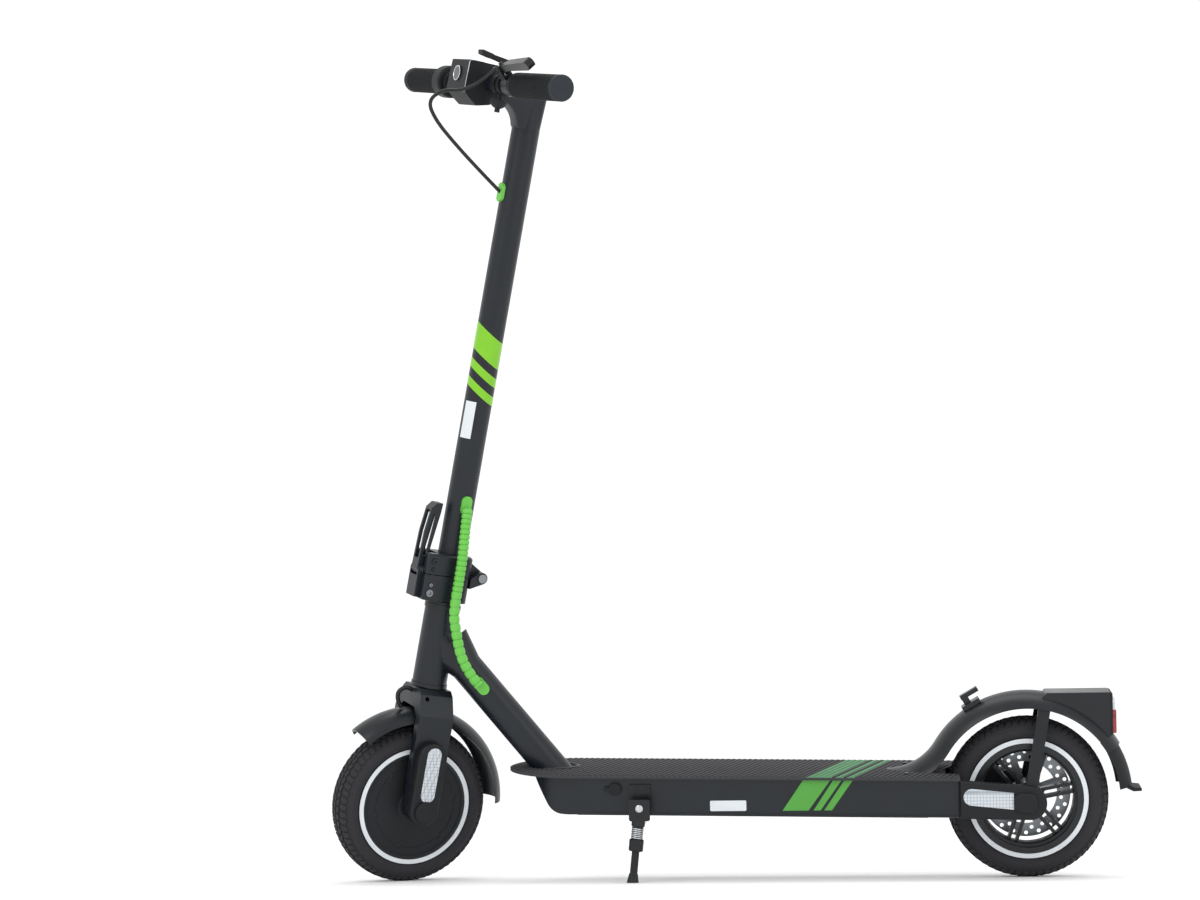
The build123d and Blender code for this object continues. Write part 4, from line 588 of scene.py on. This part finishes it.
# ------------------------------------------------------------------------------------------- wheels
@dataclass
class Tyre:
    """Air-filled tyre with shoulder lugs, in its wheel's axle frame."""

    radius: float = 108.0
    half_width: float = 25.0
    bead_radius: float = 75.2
    lug_count: int = 66
    lug: Point = (7.0, 9.5, 2.6)
    block: Point = (8.4, 5.4, 1.8)
    rib: Point = (1.8, 5.0, 8.2)
    crown_drop: float = 1.9
    lug_drop: float = 6.4
    rib_drop: float = 1.1
    lug_y: float = 17.6
    block_y: float = 8.2
    steps: int = 120

    def carcass(self) -> bmesh.types.BMesh:
        """Sidewalls, shoulders and the smooth crown under the tread."""
        r, h, bead = self.radius - self.crown_drop, self.half_width, self.bead_radius
        outer = [
            (bead, 13.5), (bead, 18.8), (80.4, 18.8), (81.2, 20.6), (83.0, 22.8), (86.5, h - 0.8),
            (90.0, h - 0.3), (92.0, h - 0.5), (92.6, h - 1.0), (96.5, h - 2.6), (100.0, h - 5.8),
            (r - 3.2, h - 9.5), (r - 1.2, h - 15.0), (r, 5.0), (r, 0.0),
        ]
        inner = [(r - 6.0, 0.0), (98.0, 12.0), (90.0, 20.0), (83.0, 17.0)]
        far = [(radius, -y) for radius, y in reversed(outer[:-1])]
        far_inner = [(radius, -y) for radius, y in inner[1:]]
        profile = outer + far + list(reversed(far_inner)) + inner
        return spun(profile, self.steps)

    def tread(self) -> bmesh.types.BMesh:
        """Slanted shoulder lugs, two rows of blocks and a row of ribs on the crown."""
        pitch = 2 * pi / self.lug_count
        turns = [Matrix.Rotation(pitch * i, 4, "Y") for i in range(self.lug_count)]
        half_turns = [Matrix.Rotation(pitch * (i + 0.5), 4, "Y") for i in range(self.lug_count)]
        shapes = []
        for side in (-1, 1):
            lean = Matrix.Rotation(radians(36 * side), 4, "Z") @ Matrix.Rotation(radians(20 * side), 4, "X")
            lug_centre = (self.radius - self.lug_drop, self.lug_y * side, 0)
            shapes.append(repeated(bar(self.lug[::-1], lug_centre, lean, 0.5), turns))
            skew = Matrix.Rotation(radians(24 * side), 4, "X") @ Matrix.Rotation(radians(9 * side), 4, "Z")
            block_centre = (self.radius - self.crown_drop, self.block_y * side, 0)
            shapes.append(repeated(bar(self.block[::-1], block_centre, skew, 0.4), half_turns))
        slant = Matrix.Rotation(radians(12), 4, "X")
        shapes.append(repeated(bar(self.rib, (self.radius - self.rib_drop, 0, 0), slant, 0.4), turns))
        return gather(shapes)

    def build(self, node: str, place: Matrix, body: str) -> None:
        """Make the tyre in place of its CAD node.

        Args:
            node: the CAD node that it replaces.
            place: the axle's frame.
            body: the wheel's body.
        """
        rubber, slot = [TYRE_RUBBER], "tyre_rubber"
        carcass = finish_piece(self.carcass(), f"{node}_carcass", place, rubber, body, 50)
        tread = finish_piece(self.tread(), f"{node}_tread", place, rubber, body, 30)
        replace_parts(carcass, node)
        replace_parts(tread, node)


@dataclass
class MotorFace:
    """Raised details of the hub motor's visible cover."""

    face_y: float = -21.0
    rim_profile: Outline = ((68.6, 0.2), (68.6, -0.9), (69.2, -1.2), (70.4, -1.2), (71.0, -0.9), (71.0, 0.2))
    hub_profile: Outline = ((17.0, 0.2), (17.0, -0.5), (22.5, -0.5), (23.5, 0.0), (23.5, 0.2))

    def build(self) -> None:
        """Make the thin raised rim of the cover and the hub's step."""
        rim = spun([(radius, self.face_y + y) for radius, y in self.rim_profile], 128)
        hub = spun([(radius, self.face_y + y) for radius, y in self.hub_profile], 96)
        shape = gather([rim, hub])
        finish_piece(shape, "motor_cover_rims", COLUMN, [DARK_ALLOY], "front_wheel")


@dataclass
class RimLip:
    """Deep inner wall of the rear rim, painted black like the spokes."""

    inner: float = 61.5
    outer: float = 66.3
    half_width: float = 13.0

    def build(self) -> None:
        """Make the lip."""
        r, big, h = self.inner, self.outer, self.half_width
        profile = [(r, 2 - h), (r + 0.8, -h), (big, -h - 1.5), (big, h + 1.5), (r + 0.8, h), (r, h - 2)]
        lip = spun(profile, 120)
        finish_piece(lip, "rear_rim_lip", REAR_AXLE, [RIM_PAINT], "rear_wheel")


@dataclass
class TailLamp:
    """Lamp at the rear of the fender: red lens below, clear strip above, in a black frame."""

    rear: float = 945.0
    half: float = 24.0
    bottom: float = 191.5
    top: float = 248.0
    seam: float = 225.0
    lower_border: float = 2.5
    upper_border: float = 7.5

    def build(self) -> None:
        """Make the three mouldings in place of the CAD node."""
        low, high = self.bottom + self.lower_border, self.top - self.upper_border
        outer, inner = 2 * self.half - 1, 2 * self.half - 5
        mouldings = (
            ("lamp_frame", MATT_ABS, "black_plastic", 6.5, 0.2, outer, self.bottom, self.top, 1.2),
            ("lamp_red_lens", RED_ACRYLIC, "red_lens", 8.0, 4.3, inner, low, self.seam, 1.4),
            ("lamp_clear_lens", CLEAR_ACRYLIC, "reflector", 6.4, 3.6, inner, self.seam, high, 1.4),
        )
        for name, finish, slot, depth, offset, width, bottom, top, bevel in mouldings:
            centre = (self.rear + offset, 0, (top + bottom) / 2)
            shape = bar((depth, width, top - bottom), centre, bevel=bevel)
            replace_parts(finish_piece(shape, name, UPRIGHT, [finish], "frame", 40), "tail_light_lenses")


# --------------------------------------------------------------------------------------------- deck
@dataclass
class Deck:
    """Ribs of the mat, the printed stripes and the blank label on the deck's side."""

    half_width: float = 74.2
    nose_x: float = 140.2
    nose_length: float = 89.0
    rear_x: float = 741.0
    top: float = 149.5
    rib_pitch: float = 7.5
    rib_width: float = 4.4
    rib_height: float = 1.0
    slant: float = 19.5
    wall_y: float = -70.0
    near_bands: Outline = ((538.0, 574.0), (578.0, 589.0), (593.0, 604.0))
    side_bands: Sequence[Outline] = (
        ((507, 541), (538, 574)), ((548, 557), (578, 589)), ((562, 572), (593, 604))
    )
    band_heights: tuple[float, float] = (98.0, 143.0)
    print_heights: tuple[float, float] = (103.4, 145.5)
    label_corners: Outline = ((415, 103.6), (463, 117.5))
    flare_x: float = 655.0
    tail_half_width: float = 38.0
    tube_slope: float = 50.85
    tube_radius: float = 22.6
    tube_point: tuple[float, float] = (80.0, 297.5)
    shell_top: float = 146.6
    weld_lift: float = 3.4

    def rib_span(self, near_x: float) -> tuple[float, float] | None:
        """Where a slanted rib lies on the mat.

        Args:
            near_x: where its line meets the near edge.

        Returns:
            Its lowest and highest Y, or None if the line misses the mat.
        """
        lean = tan(radians(self.slant))
        shoulder = self.nose_x + self.nose_length
        inside = []
        for number in range(int(2 * self.half_width) + 1):
            y = -self.half_width + number
            x = near_x + (y + self.half_width) * lean
            if x > self.rear_x - 2 or (x > self.flare_x and abs(y) < self.tail_half_width):
                continue
            reach = self.half_width
            if x < shoulder:
                reach = self.half_width * sqrt(max(1 - ((shoulder - x) / self.nose_length) ** 2, 0))
            if abs(y) < reach - 1.5:
                inside.append(y)
        return (inside[0], inside[-1]) if len(inside) > 6 else None

    def ribs(self) -> bpy.types.Object:
        """Slanted ribs over the whole mat, the printed ones pale green."""
        lean = tan(radians(self.slant))
        shapes = []
        near_x = self.nose_x - 2 * self.half_width * lean
        while near_x < self.rear_x:
            span = self.rib_span(near_x)
            if span:
                low, high = span
                length = (high - low) / cos(radians(self.slant))
                middle_y = (low + high) / 2
                middle_x = near_x + (middle_y + self.half_width) * lean
                centre = (middle_x, middle_y, self.top + self.rib_height / 2 - 0.15)
                turn = Matrix.Rotation(radians(-self.slant), 4, "Z")
                shape = bar((self.rib_width, length, self.rib_height + 0.3), centre, turn, 0.45)
                printed = any(a <= near_x <= b for a, b in self.near_bands)
                for face in shape.faces:
                    face.material_index = int(printed)
                shapes.append(shape)
            near_x += self.rib_pitch
        finishes = [MAT_RUBBER, PALE_PRINT]
        return finish_piece(gather(shapes), "mat_ribs", DECK, finishes, "frame", 25)

    def mat_prints(self) -> bpy.types.Object:
        """Green print between the ribs."""
        lean = tan(radians(self.slant)) * 2 * self.half_width
        shapes = []
        for low, high in self.near_bands:
            made = bmesh.new()
            corners = ((low, -1), (high, -1), (high + lean, 1), (low + lean, 1))
            z = self.top + 0.05
            face = made.faces.new([made.verts.new((x, sign * self.half_width, z)) for x, sign in corners])
            grown = bmesh.ops.extrude_face_region(made, geom=[face])
            lifted = [item for item in grown["geom"] if isinstance(item, bmesh.types.BMVert)]
            bmesh.ops.translate(made, vec=(0, 0, 0.12), verts=lifted)
            bmesh.ops.recalc_face_normals(made, faces=made.faces)
            shapes.append(made)
        return finish_piece(gather(shapes), "mat_prints", DECK, [PALE_PRINT], "frame", 25)

    def side_prints(self) -> bpy.types.Object:
        """Green slanted bands on the deck's left wall, on their line up to the mat."""
        low_z, high_z = self.band_heights
        print_low, print_high = self.print_heights
        shapes = []
        for bottom, top in self.side_bands:
            outline = []
            for edge, z in ((0, print_low), (1, print_low), (1, print_high), (0, print_high)):
                share = (z - low_z) / (high_z - low_z)
                outline.append((bottom[edge] + (top[edge] - bottom[edge]) * share, z))
            shapes.append(plate(outline, 0.25))
        shape = gather(shapes)
        bmesh.ops.translate(shape, vec=(0, self.wall_y, 0), verts=shape.verts)
        return finish_piece(shape, "side_prints", UPRIGHT, [GREEN_PRINT], "frame", 25)

    def label(self) -> bpy.types.Object:
        """Blank white label on the deck's side."""
        shape = plate(rounded_rectangle(*self.label_corners, 1.6), 0.3, 0.1)
        bmesh.ops.translate(shape, vec=(0, self.wall_y, 0), verts=shape.verts)
        return finish_piece(shape, "deck_label", UPRIGHT, [LABEL], "frame", 25)

    def weld(self) -> bpy.types.Object:
        """Weld bead where the down tube meets the deck."""
        slope, radius = radians(self.tube_slope), self.tube_radius
        tube_x, tube_z = self.tube_point
        centre_x = tube_x + (tube_z - self.shell_top) / tan(slope)
        z = self.shell_top + self.weld_lift
        line = []
        for number in range(73):
            angle = 2 * pi * number / 72
            line.append(Vector((centre_x + radius / sin(slope) * cos(angle), radius * sin(angle), z)))
        shape = swept(line, lambda s: 2.3 + 0.5 * abs(sin(s * pi / 4.2)), 1.4, 10)
        return finish_piece(shape, "weld_bead", DECK, [POWDER_COAT], "frame", 40)

    def build(self) -> None:
        """Make every deck detail."""
        self.ribs()
        self.mat_prints()
        self.side_prints()
        self.label()
        self.weld()


# -------------------------------------------------------------------------------------------- stem
@dataclass
class Stem:
    """Lime bands and a blank label round the stem."""

    radius: float = 19.0
    slope: float = -0.66
    bands: Sequence[tuple[float, float]] = ((614.8, 650.8), (590.0, 602.2), (565.5, 577.5))
    label_z: float = 530.0
    label_size: tuple[float, float] = (16.5, 50.0)
    label_turn: float = -24.0

    def band(self, low: float, high: float) -> bmesh.types.BMesh:
        """One slanted band, as a thin sleeve.

        Args:
            low, high: where its edges cross the stem's axis.

        Returns:
            The sleeve.
        """
        made = bmesh.new()
        wall = self.radius + 0.18
        bmesh.ops.create_cone(
            made, cap_ends=False, segments=96, radius1=wall, radius2=wall, depth=200,
            matrix=Matrix.Translation((0, 0, (low + high) / 2)),
        )
        direction = Vector((-self.slope, 0, 1)).normalized()
        for height, keep_above in ((low, True), (high, False)):
            bmesh.ops.bisect_plane(
                made, geom=made.verts[:] + made.edges[:] + made.faces[:], plane_co=(0, 0, height),
                plane_no=direction, clear_inner=keep_above, clear_outer=not keep_above,
            )
        bmesh.ops.solidify(made, geom=made.faces[:], thickness=0.3)
        bmesh.ops.recalc_face_normals(made, faces=made.faces)
        return made

    def build(self) -> None:
        """Make the bands and the label."""
        shape = gather(self.band(low, high) for low, high in self.bands)
        finish_piece(shape, "stem_bands", STRAIGHT, [LIME_FOIL], "stem", 40)
        label = bmesh.new()
        width, height = self.label_size
        flat = Matrix.Diagonal((width, 1, height, 1)) @ Matrix.Rotation(pi / 2, 4, "X")
        middle = Matrix.Translation((0, 0, self.label_z)) @ flat
        bmesh.ops.create_grid(label, x_segments=12, y_segments=2, size=0.5, matrix=middle)
        for vert in label.verts:
            angle = vert.co.x / self.radius + radians(self.label_turn)
            reach = self.radius + 0.45
            vert.co.x, vert.co.y = reach * sin(angle), -reach * cos(angle)
        bmesh.ops.solidify(label, geom=label.faces[:], thickness=0.25)
        bmesh.ops.recalc_face_normals(label, faces=label.faces)
        finish_piece(label, "stem_label", STRAIGHT, [LABEL], "stem", 40)


# ------------------------------------------------------------------------------------------ cockpit
@dataclass
class Cockpit:
    """Ribbed grips, trim of the display and the brake cable."""

    bar_x: float = -71.0
    bar_z: float = 975.0
    grip_radius: float = 17.0
    bar_radius: float = 11.2
    rib_pitch: float = 3.4
    bar_end: float = 236.0
    left_grip_end: float = -106.0
    right_grip_start: float = 132.0
    lamp: Point = (-113.0, 0.0, 982.0)
    lamp_radius: float = 9.6
    lever: Point = (26.0, -71.0, 40.0)
    neck_base: float = 925.0
    neck_half: float = 17.5
    sweep: tuple[float, float, float] = (-58.0, 39.5, 34.0)

    def bar_frame(self) -> Matrix:
        """Frame on the bar's axis."""
        return COLUMN @ Matrix.Translation((self.bar_x, 0, self.bar_z))

    def grip(self, low: float, high: float) -> bmesh.types.BMesh:
        """One ribbed grip between two places along the bar."""
        outer = self.grip_radius
        profile = [(self.bar_radius, low), (outer - 1.0, low)]
        profile += [(outer - 0.2, low + 0.8), (outer - 0.2, low + 4.5)]
        y = low + 5.0
        while y < high - 5.0 - self.rib_pitch:
            profile += [
                (outer - 1.6, y), (outer - 1.6, y + 0.9), (outer - 0.2, y + 1.4), (outer, y + 2.1),
                (outer - 0.2, y + 2.8),
            ]
            y += self.rib_pitch
        profile += [(outer - 0.2, high - 4.5), (outer - 0.2, high - 0.8)]
        profile += [(outer - 1.0, high), (self.bar_radius, high)]
        return spun(profile, 56)

    def cap(self, edge: float, side: int) -> bmesh.types.BMesh:
        """Rounded end cap outside one grip."""
        radius = self.grip_radius + 0.1
        profile = [
            (11.0, 0.0), (radius - 0.6, 0.0), (radius, 0.5), (radius, 1.8), (radius - 0.5, 2.7),
            (radius - 1.8, 3.3), (9.0, 3.45), (8.6, 3.3), (0.05, 3.3), (0.05, 1.0), (11.0, 1.0),
        ]
        return spun([(r, edge + side * y) for r, y in profile], 56)

    def grips(self) -> None:
        """Both grips with their caps, in place of the CAD node."""
        end = self.bar_end
        ribbed = gather([self.grip(-end, self.left_grip_end), self.grip(self.right_grip_start, end)])
        grips = finish_piece(ribbed, "ribbed_grips", self.bar_frame(), [SOFT_RUBBER], "stem", 32)
        ends = gather([self.cap(-end, -1), self.cap(end, 1)])
        caps = finish_piece(ends, "grip_caps", self.bar_frame(), [CAP_RUBBER], "stem", 40)
        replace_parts(grips, "grips")
        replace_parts(caps, "grips")

    def trim(self) -> None:
        """Silver line along the display's edge and the ring round the headlight."""
        corners = ((-110.6, 958), (-109.4, 999.6), (-104, 1001.2), (-50, 1000.4))
        edge = swept([Vector((x, -28.2, z)) for x, z in corners], lambda s: 0.55, 2.0, 8)
        x, y, z = self.lamp
        ring = []
        for number in range(41):
            angle = 2 * pi * number / 40
            ring.append(Vector((x, y + self.lamp_radius * cos(angle), z + self.lamp_radius * sin(angle))))
        shape = gather([edge, swept(ring, lambda s: 0.55, 1.5, 8)])
        finish_piece(shape, "display_trim", COLUMN, [CHROME], "stem", 40)

    def cable(self) -> None:
        """Brake cable on one smooth line from the lever to the stem."""
        reach, y, tilt = self.lever
        mouth = (self.bar_x - reach * cos(radians(tilt)), y, self.bar_z + reach * sin(radians(tilt)))
        points = (
            mouth, (-96, -50, 976), (-117, -37, 958), (-141, -29, 955), (-157, -23, 937),
            (-138, -17, 914), (-101, -11, 888), (-62, -5, 863), (-22.0, 0, 838.5),
        )
        route = [Vector(point) for point in points]
        shape = swept(smooth_route(route), lambda s: 2.5, 2.5, 14)
        cable = finish_piece(shape, "brake_cable_jacket", COLUMN, [CABLE_JACKET], "stem", 60)
        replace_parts(cable, "brake_cable")

    def neck(self) -> None:
        """Cast neck with one soft sweep from the stem forward to the bar, in place of the CAD node."""
        base = self.neck_base
        outline = [(18.5, base), (18.5, 972.0), (16.5, 981.0), (8.0, 987.0)]
        for number in range(13):
            angle = radians(90 + 15 * number)
            outline.append((self.bar_x + 16 * cos(angle), self.bar_z + 16 * sin(angle)))
        sweep_x, sweep_width, sweep_height = self.sweep
        for number in range(13):
            angle = radians(7.5 * number)
            outline.append((sweep_x + sweep_width * sin(angle), base + sweep_height * cos(angle)))
        body = plate(outline, 2 * self.neck_half)
        bmesh.ops.translate(body, vec=(0, self.neck_half, 0), verts=body.verts)
        rims = []
        for edge in body.edges:
            first, second = (vert.co for vert in edge.verts)
            in_base = max(abs(first.z - base), abs(second.z - base)) < 0.01
            if abs(first.y - second.y) < 1 and edge.calc_length() < 70 and not in_base:
                rims.append(edge)
        bmesh.ops.bevel(body, geom=rims, offset=9.0, segments=5, profile=0.5, affect="EDGES", material=-1)
        for vert in body.verts:
            limit = 18.7 + (vert.co.z - base) * (1.6 if vert.co.x < 0 else 0.3)
            reach = sqrt(vert.co.x**2 + vert.co.y**2)
            if reach > limit:
                vert.co.x, vert.co.y = vert.co.x * limit / reach, vert.co.y * limit / reach
        post = bmesh.new()
        bmesh.ops.create_cone(
            post, cap_ends=True, segments=72, radius1=18.9, radius2=18.4, depth=30,
            matrix=Matrix.Translation((0, 0, 940.2)),
        )
        clamp_profile = (
            (11.15, -19.0), (16.4, -19.0), (17.2, -18.2), (17.2, 18.2), (16.4, 19.0), (11.15, 19.0)
        )
        clamp = spun(clamp_profile, 48)
        bmesh.ops.translate(clamp, vec=(self.bar_x, 0, self.bar_z), verts=clamp.verts)
        shape = gather([body, post, clamp])
        piece = finish_piece(shape, "cast_neck", COLUMN, [POWDER_COAT], "stem", 45)
        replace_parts(piece, "neck")

    def build(self) -> None:
        """Make every cockpit detail."""
        self.neck()
        self.grips()
        self.trim()
        self.cable()


# ------------------------------------------------------------------------------------------- guards
@dataclass
class Guards:
    """Beaded green guard from the stem down to the down tube, in two lengths."""

    radius: float = 7.0
    fine_pitch: float = 7.0
    coarse_pitch: float = 11.0
    clip: Point = (-3.0, -44.0, 302.0)

    def bead(self, pitch: float) -> Callable[[float], float]:
        """Radius along the guard for one bead pitch."""

        def radius_at(distance: float) -> float:
            """Radius at one place: full over the bead, waisted between beads."""
            phase = (distance / pitch) % 1.0
            return self.radius - 1.6 * abs(2 * phase - 1) ** 4

        return radius_at

    def build(self) -> None:
        """Make both lengths in place of their CAD nodes."""
        points = ((-2, -29.3, 412), (-3.5, -38, 380), (-3, -44, 342), self.clip)
        above = [Vector(point) for point in points]
        shape = swept(smooth_route(above), self.bead(self.fine_pitch), 0.7, 20)
        upper = finish_piece(shape, "guard_upper_beads", COLUMN, [GREEN_RUBBER], "stem", 40)
        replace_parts(upper, "cable_guard_upper")
        here = to_upright(self.clip)
        below = to_upright((self.clip[0], self.clip[1], self.clip[2] - 30))
        route = [
            here, below, Vector((77.5, -37.5, 342)), Vector((82, -37, 312)), Vector((93, -34.5, 287)),
            Vector((105, -31, 270.5)),
        ]
        shape = swept(smooth_route(route), self.bead(self.coarse_pitch), 0.8, 20)
        lower = finish_piece(shape, "guard_lower_beads", UPRIGHT, [GREEN_RUBBER], "frame", 40)
        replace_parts(lower, "cable_guard_lower")


# -------------------------------------------------------------------------------------------- stand
@dataclass
class Stand:
    """Spring coil, rod and rivet head of the kickstand."""

    pivot: Point = (322.5, -84.0, 112.0)
    foot_x: float = 312.0
    foot_y: float = -98.0
    tyre_crown: float = 25.0
    top: float = -26.5
    bottom: float = -41.0
    coil_radius: float = 7.6
    coil_turns: float = 6.0
    wire_radius: float = 0.9
    rod_radius: float = 5.15
    rod_top: float = -57.5
    foot_height: float = 14.0

    def build(self) -> None:
        """Make the coil, the rod and the pivot's rivet head."""
        foot_z = -self.foot_y * tan(LEAN) - self.tyre_crown * (1 - cos(LEAN)) / cos(LEAN)
        foot = Vector((self.foot_x, self.foot_y, foot_z))
        up = (Vector(self.pivot) - foot).normalized()
        ahead = Vector((1, 0, 0))
        ahead = (ahead - up * ahead.dot(up)).normalized()
        turn = Matrix((ahead, up.cross(ahead), up)).transposed().to_4x4()
        place = UPRIGHT @ Matrix.Translation(self.pivot) @ turn
        line = []
        steps = 144
        for number in range(steps + 1):
            angle = 2 * pi * self.coil_turns * number / steps
            height = self.top + (self.bottom - self.top) * number / steps
            line.append(Vector((self.coil_radius * cos(angle), self.coil_radius * sin(angle), height)))
        coil = swept(line, lambda s: self.wire_radius, 1.6, 8)
        finish_piece(coil, "stand_spring", place, [BRIGHT_STEEL], "kickstand", 60)
        rod = bmesh.new()
        length = (Vector(self.pivot) - foot).length
        low, high = -length + self.foot_height, self.rod_top
        bmesh.ops.create_cone(
            rod, cap_ends=True, segments=40, radius1=self.rod_radius, radius2=self.rod_radius,
            depth=high - low,
            matrix=Matrix.Translation((0, 0, (low + high) / 2)),
        )
        finish_piece(rod, "stand_rod", place, [BLACK_STEEL], "kickstand", 40)
        profile = ((0.02, -12.6), (2.4, -12.4), (4.2, -12.0), (5.15, -11.3), (5.15, -10.6), (0.02, -10.6))
        dome = spun(profile, 48)
        rivet_place = UPRIGHT @ Matrix.Translation(self.pivot)
        finish_piece(dome, "stand_rivet", rivet_place, [BRIGHT_STEEL], "frame", 40)


# ------------------------------------------------------------------------------------------- studio
@dataclass
class Studio:
    """Camera, floor and soft lights."""

    lens: float = 84.3
    eye: Point = (165.4, -3668.9, 203.7)
    yaw: float = 5.12
    pitch: float = -5.65
    roll: float = -0.66

    def camera(self) -> None:
        """Camera at the fitted view."""
        y, t, r = radians(self.yaw), radians(self.pitch), radians(self.roll)
        ahead = Vector((-sin(y) * cos(t), cos(y) * cos(t), -sin(t)))
        right = Vector((cos(y), sin(y), 0))
        up = right.cross(ahead)
        turned = right * cos(r) + up * sin(r)
        top = up * cos(r) - right * sin(r)
        data = bpy.data.cameras.new("camera")
        data.lens = self.lens
        data.sensor_width = 36.0
        data.sensor_fit = "HORIZONTAL"
        data.clip_end = 200.0
        made = bpy.data.objects.new("camera", data)
        basis = Matrix((turned, top, -ahead)).transposed().to_4x4()
        made.matrix_world = Matrix.Translation(Vector(self.eye) * MM) @ basis
        bpy.context.scene.collection.objects.link(made)
        bpy.context.scene.camera = made

    def floor(self) -> None:
        """Wide pale floor."""
        shape = bmesh.new()
        bmesh.ops.create_grid(shape, x_segments=2, y_segments=2, size=40.0)
        mesh = bpy.data.meshes.new("floor")
        shape.to_mesh(mesh)
        shape.free()
        mesh.materials.append(PAPER.build())
        made = bpy.data.objects.new("floor", mesh)
        bpy.context.scene.collection.objects.link(made)

    def softbox(self, name: str, place: Point, aim: Point, size: tuple[float, float], power: float) -> None:
        """One rectangular soft light.

        Args:
            name: the light's name.
            place, aim: where it is and what it faces, in metres.
            size: its width and height, in metres.
            power: its power in watts.
        """
        data = bpy.data.lights.new(name, "AREA")
        data.shape = "RECTANGLE"
        data.size, data.size_y = size
        data.energy = power
        made = bpy.data.objects.new(name, data)
        heading = Vector(aim) - Vector(place)
        turn = heading.to_track_quat("-Z", "Y").to_matrix().to_4x4()
        made.matrix_world = Matrix.Translation(place) @ turn
        bpy.context.scene.collection.objects.link(made)

    def world(self) -> None:
        """Even white surroundings."""
        world = bpy.data.worlds.new("studio")
        world.use_nodes = True
        shade = world.node_tree.nodes["Background"]
        shade.inputs["Color"].default_value = (1.0, 1.0, 1.0, 1.0)
        shade.inputs["Strength"].default_value = 1.08
        bpy.context.scene.world = world
        bpy.context.scene.view_settings.view_transform = "Standard"

    def build(self) -> None:
        """Set the whole studio."""
        self.camera()
        self.floor()
        self.world()
        self.softbox("key", (-1.6, -2.4, 2.3), (0.0, 0.0, 0.5), (1.4, 1.8), 24.0)
        self.softbox("fill", (2.2, -1.8, 1.4), (0.1, 0.0, 0.3), (1.0, 1.6), 8.0)
        self.softbox("top", (0.2, 0.6, 3.0), (0.0, 0.0, 0.3), (2.4, 1.2), 16.0)


def dress_nodes() -> None:
    """Give every CAD node its finish."""
    slots = {item["node"]: item["material_slot"] for item in frame["record"]["subparts"]}
    for name, item in frame["nodes"].items():
        finish = SPECIAL_FINISHES.get(name, NODE_FINISHES[slots[name]])
        item.data.materials.clear()
        item.data.materials.append(finish.build())
        LOG.info("node %s: %s", name, finish.name)


def main() -> None:
    """Build the scene in order."""
    Studio().build()
    dress_nodes()
    Tyre().build("front_tyre", COLUMN, "front_wheel")
    Tyre().build("rear_tyre", REAR_AXLE, "rear_wheel")
    MotorFace().build()
    RimLip().build()
    TailLamp().build()
    Deck().build()
    Stem().build()
    Cockpit().build()
    Guards().build()
    Stand().build()


if __name__ == "__main__":
    main()
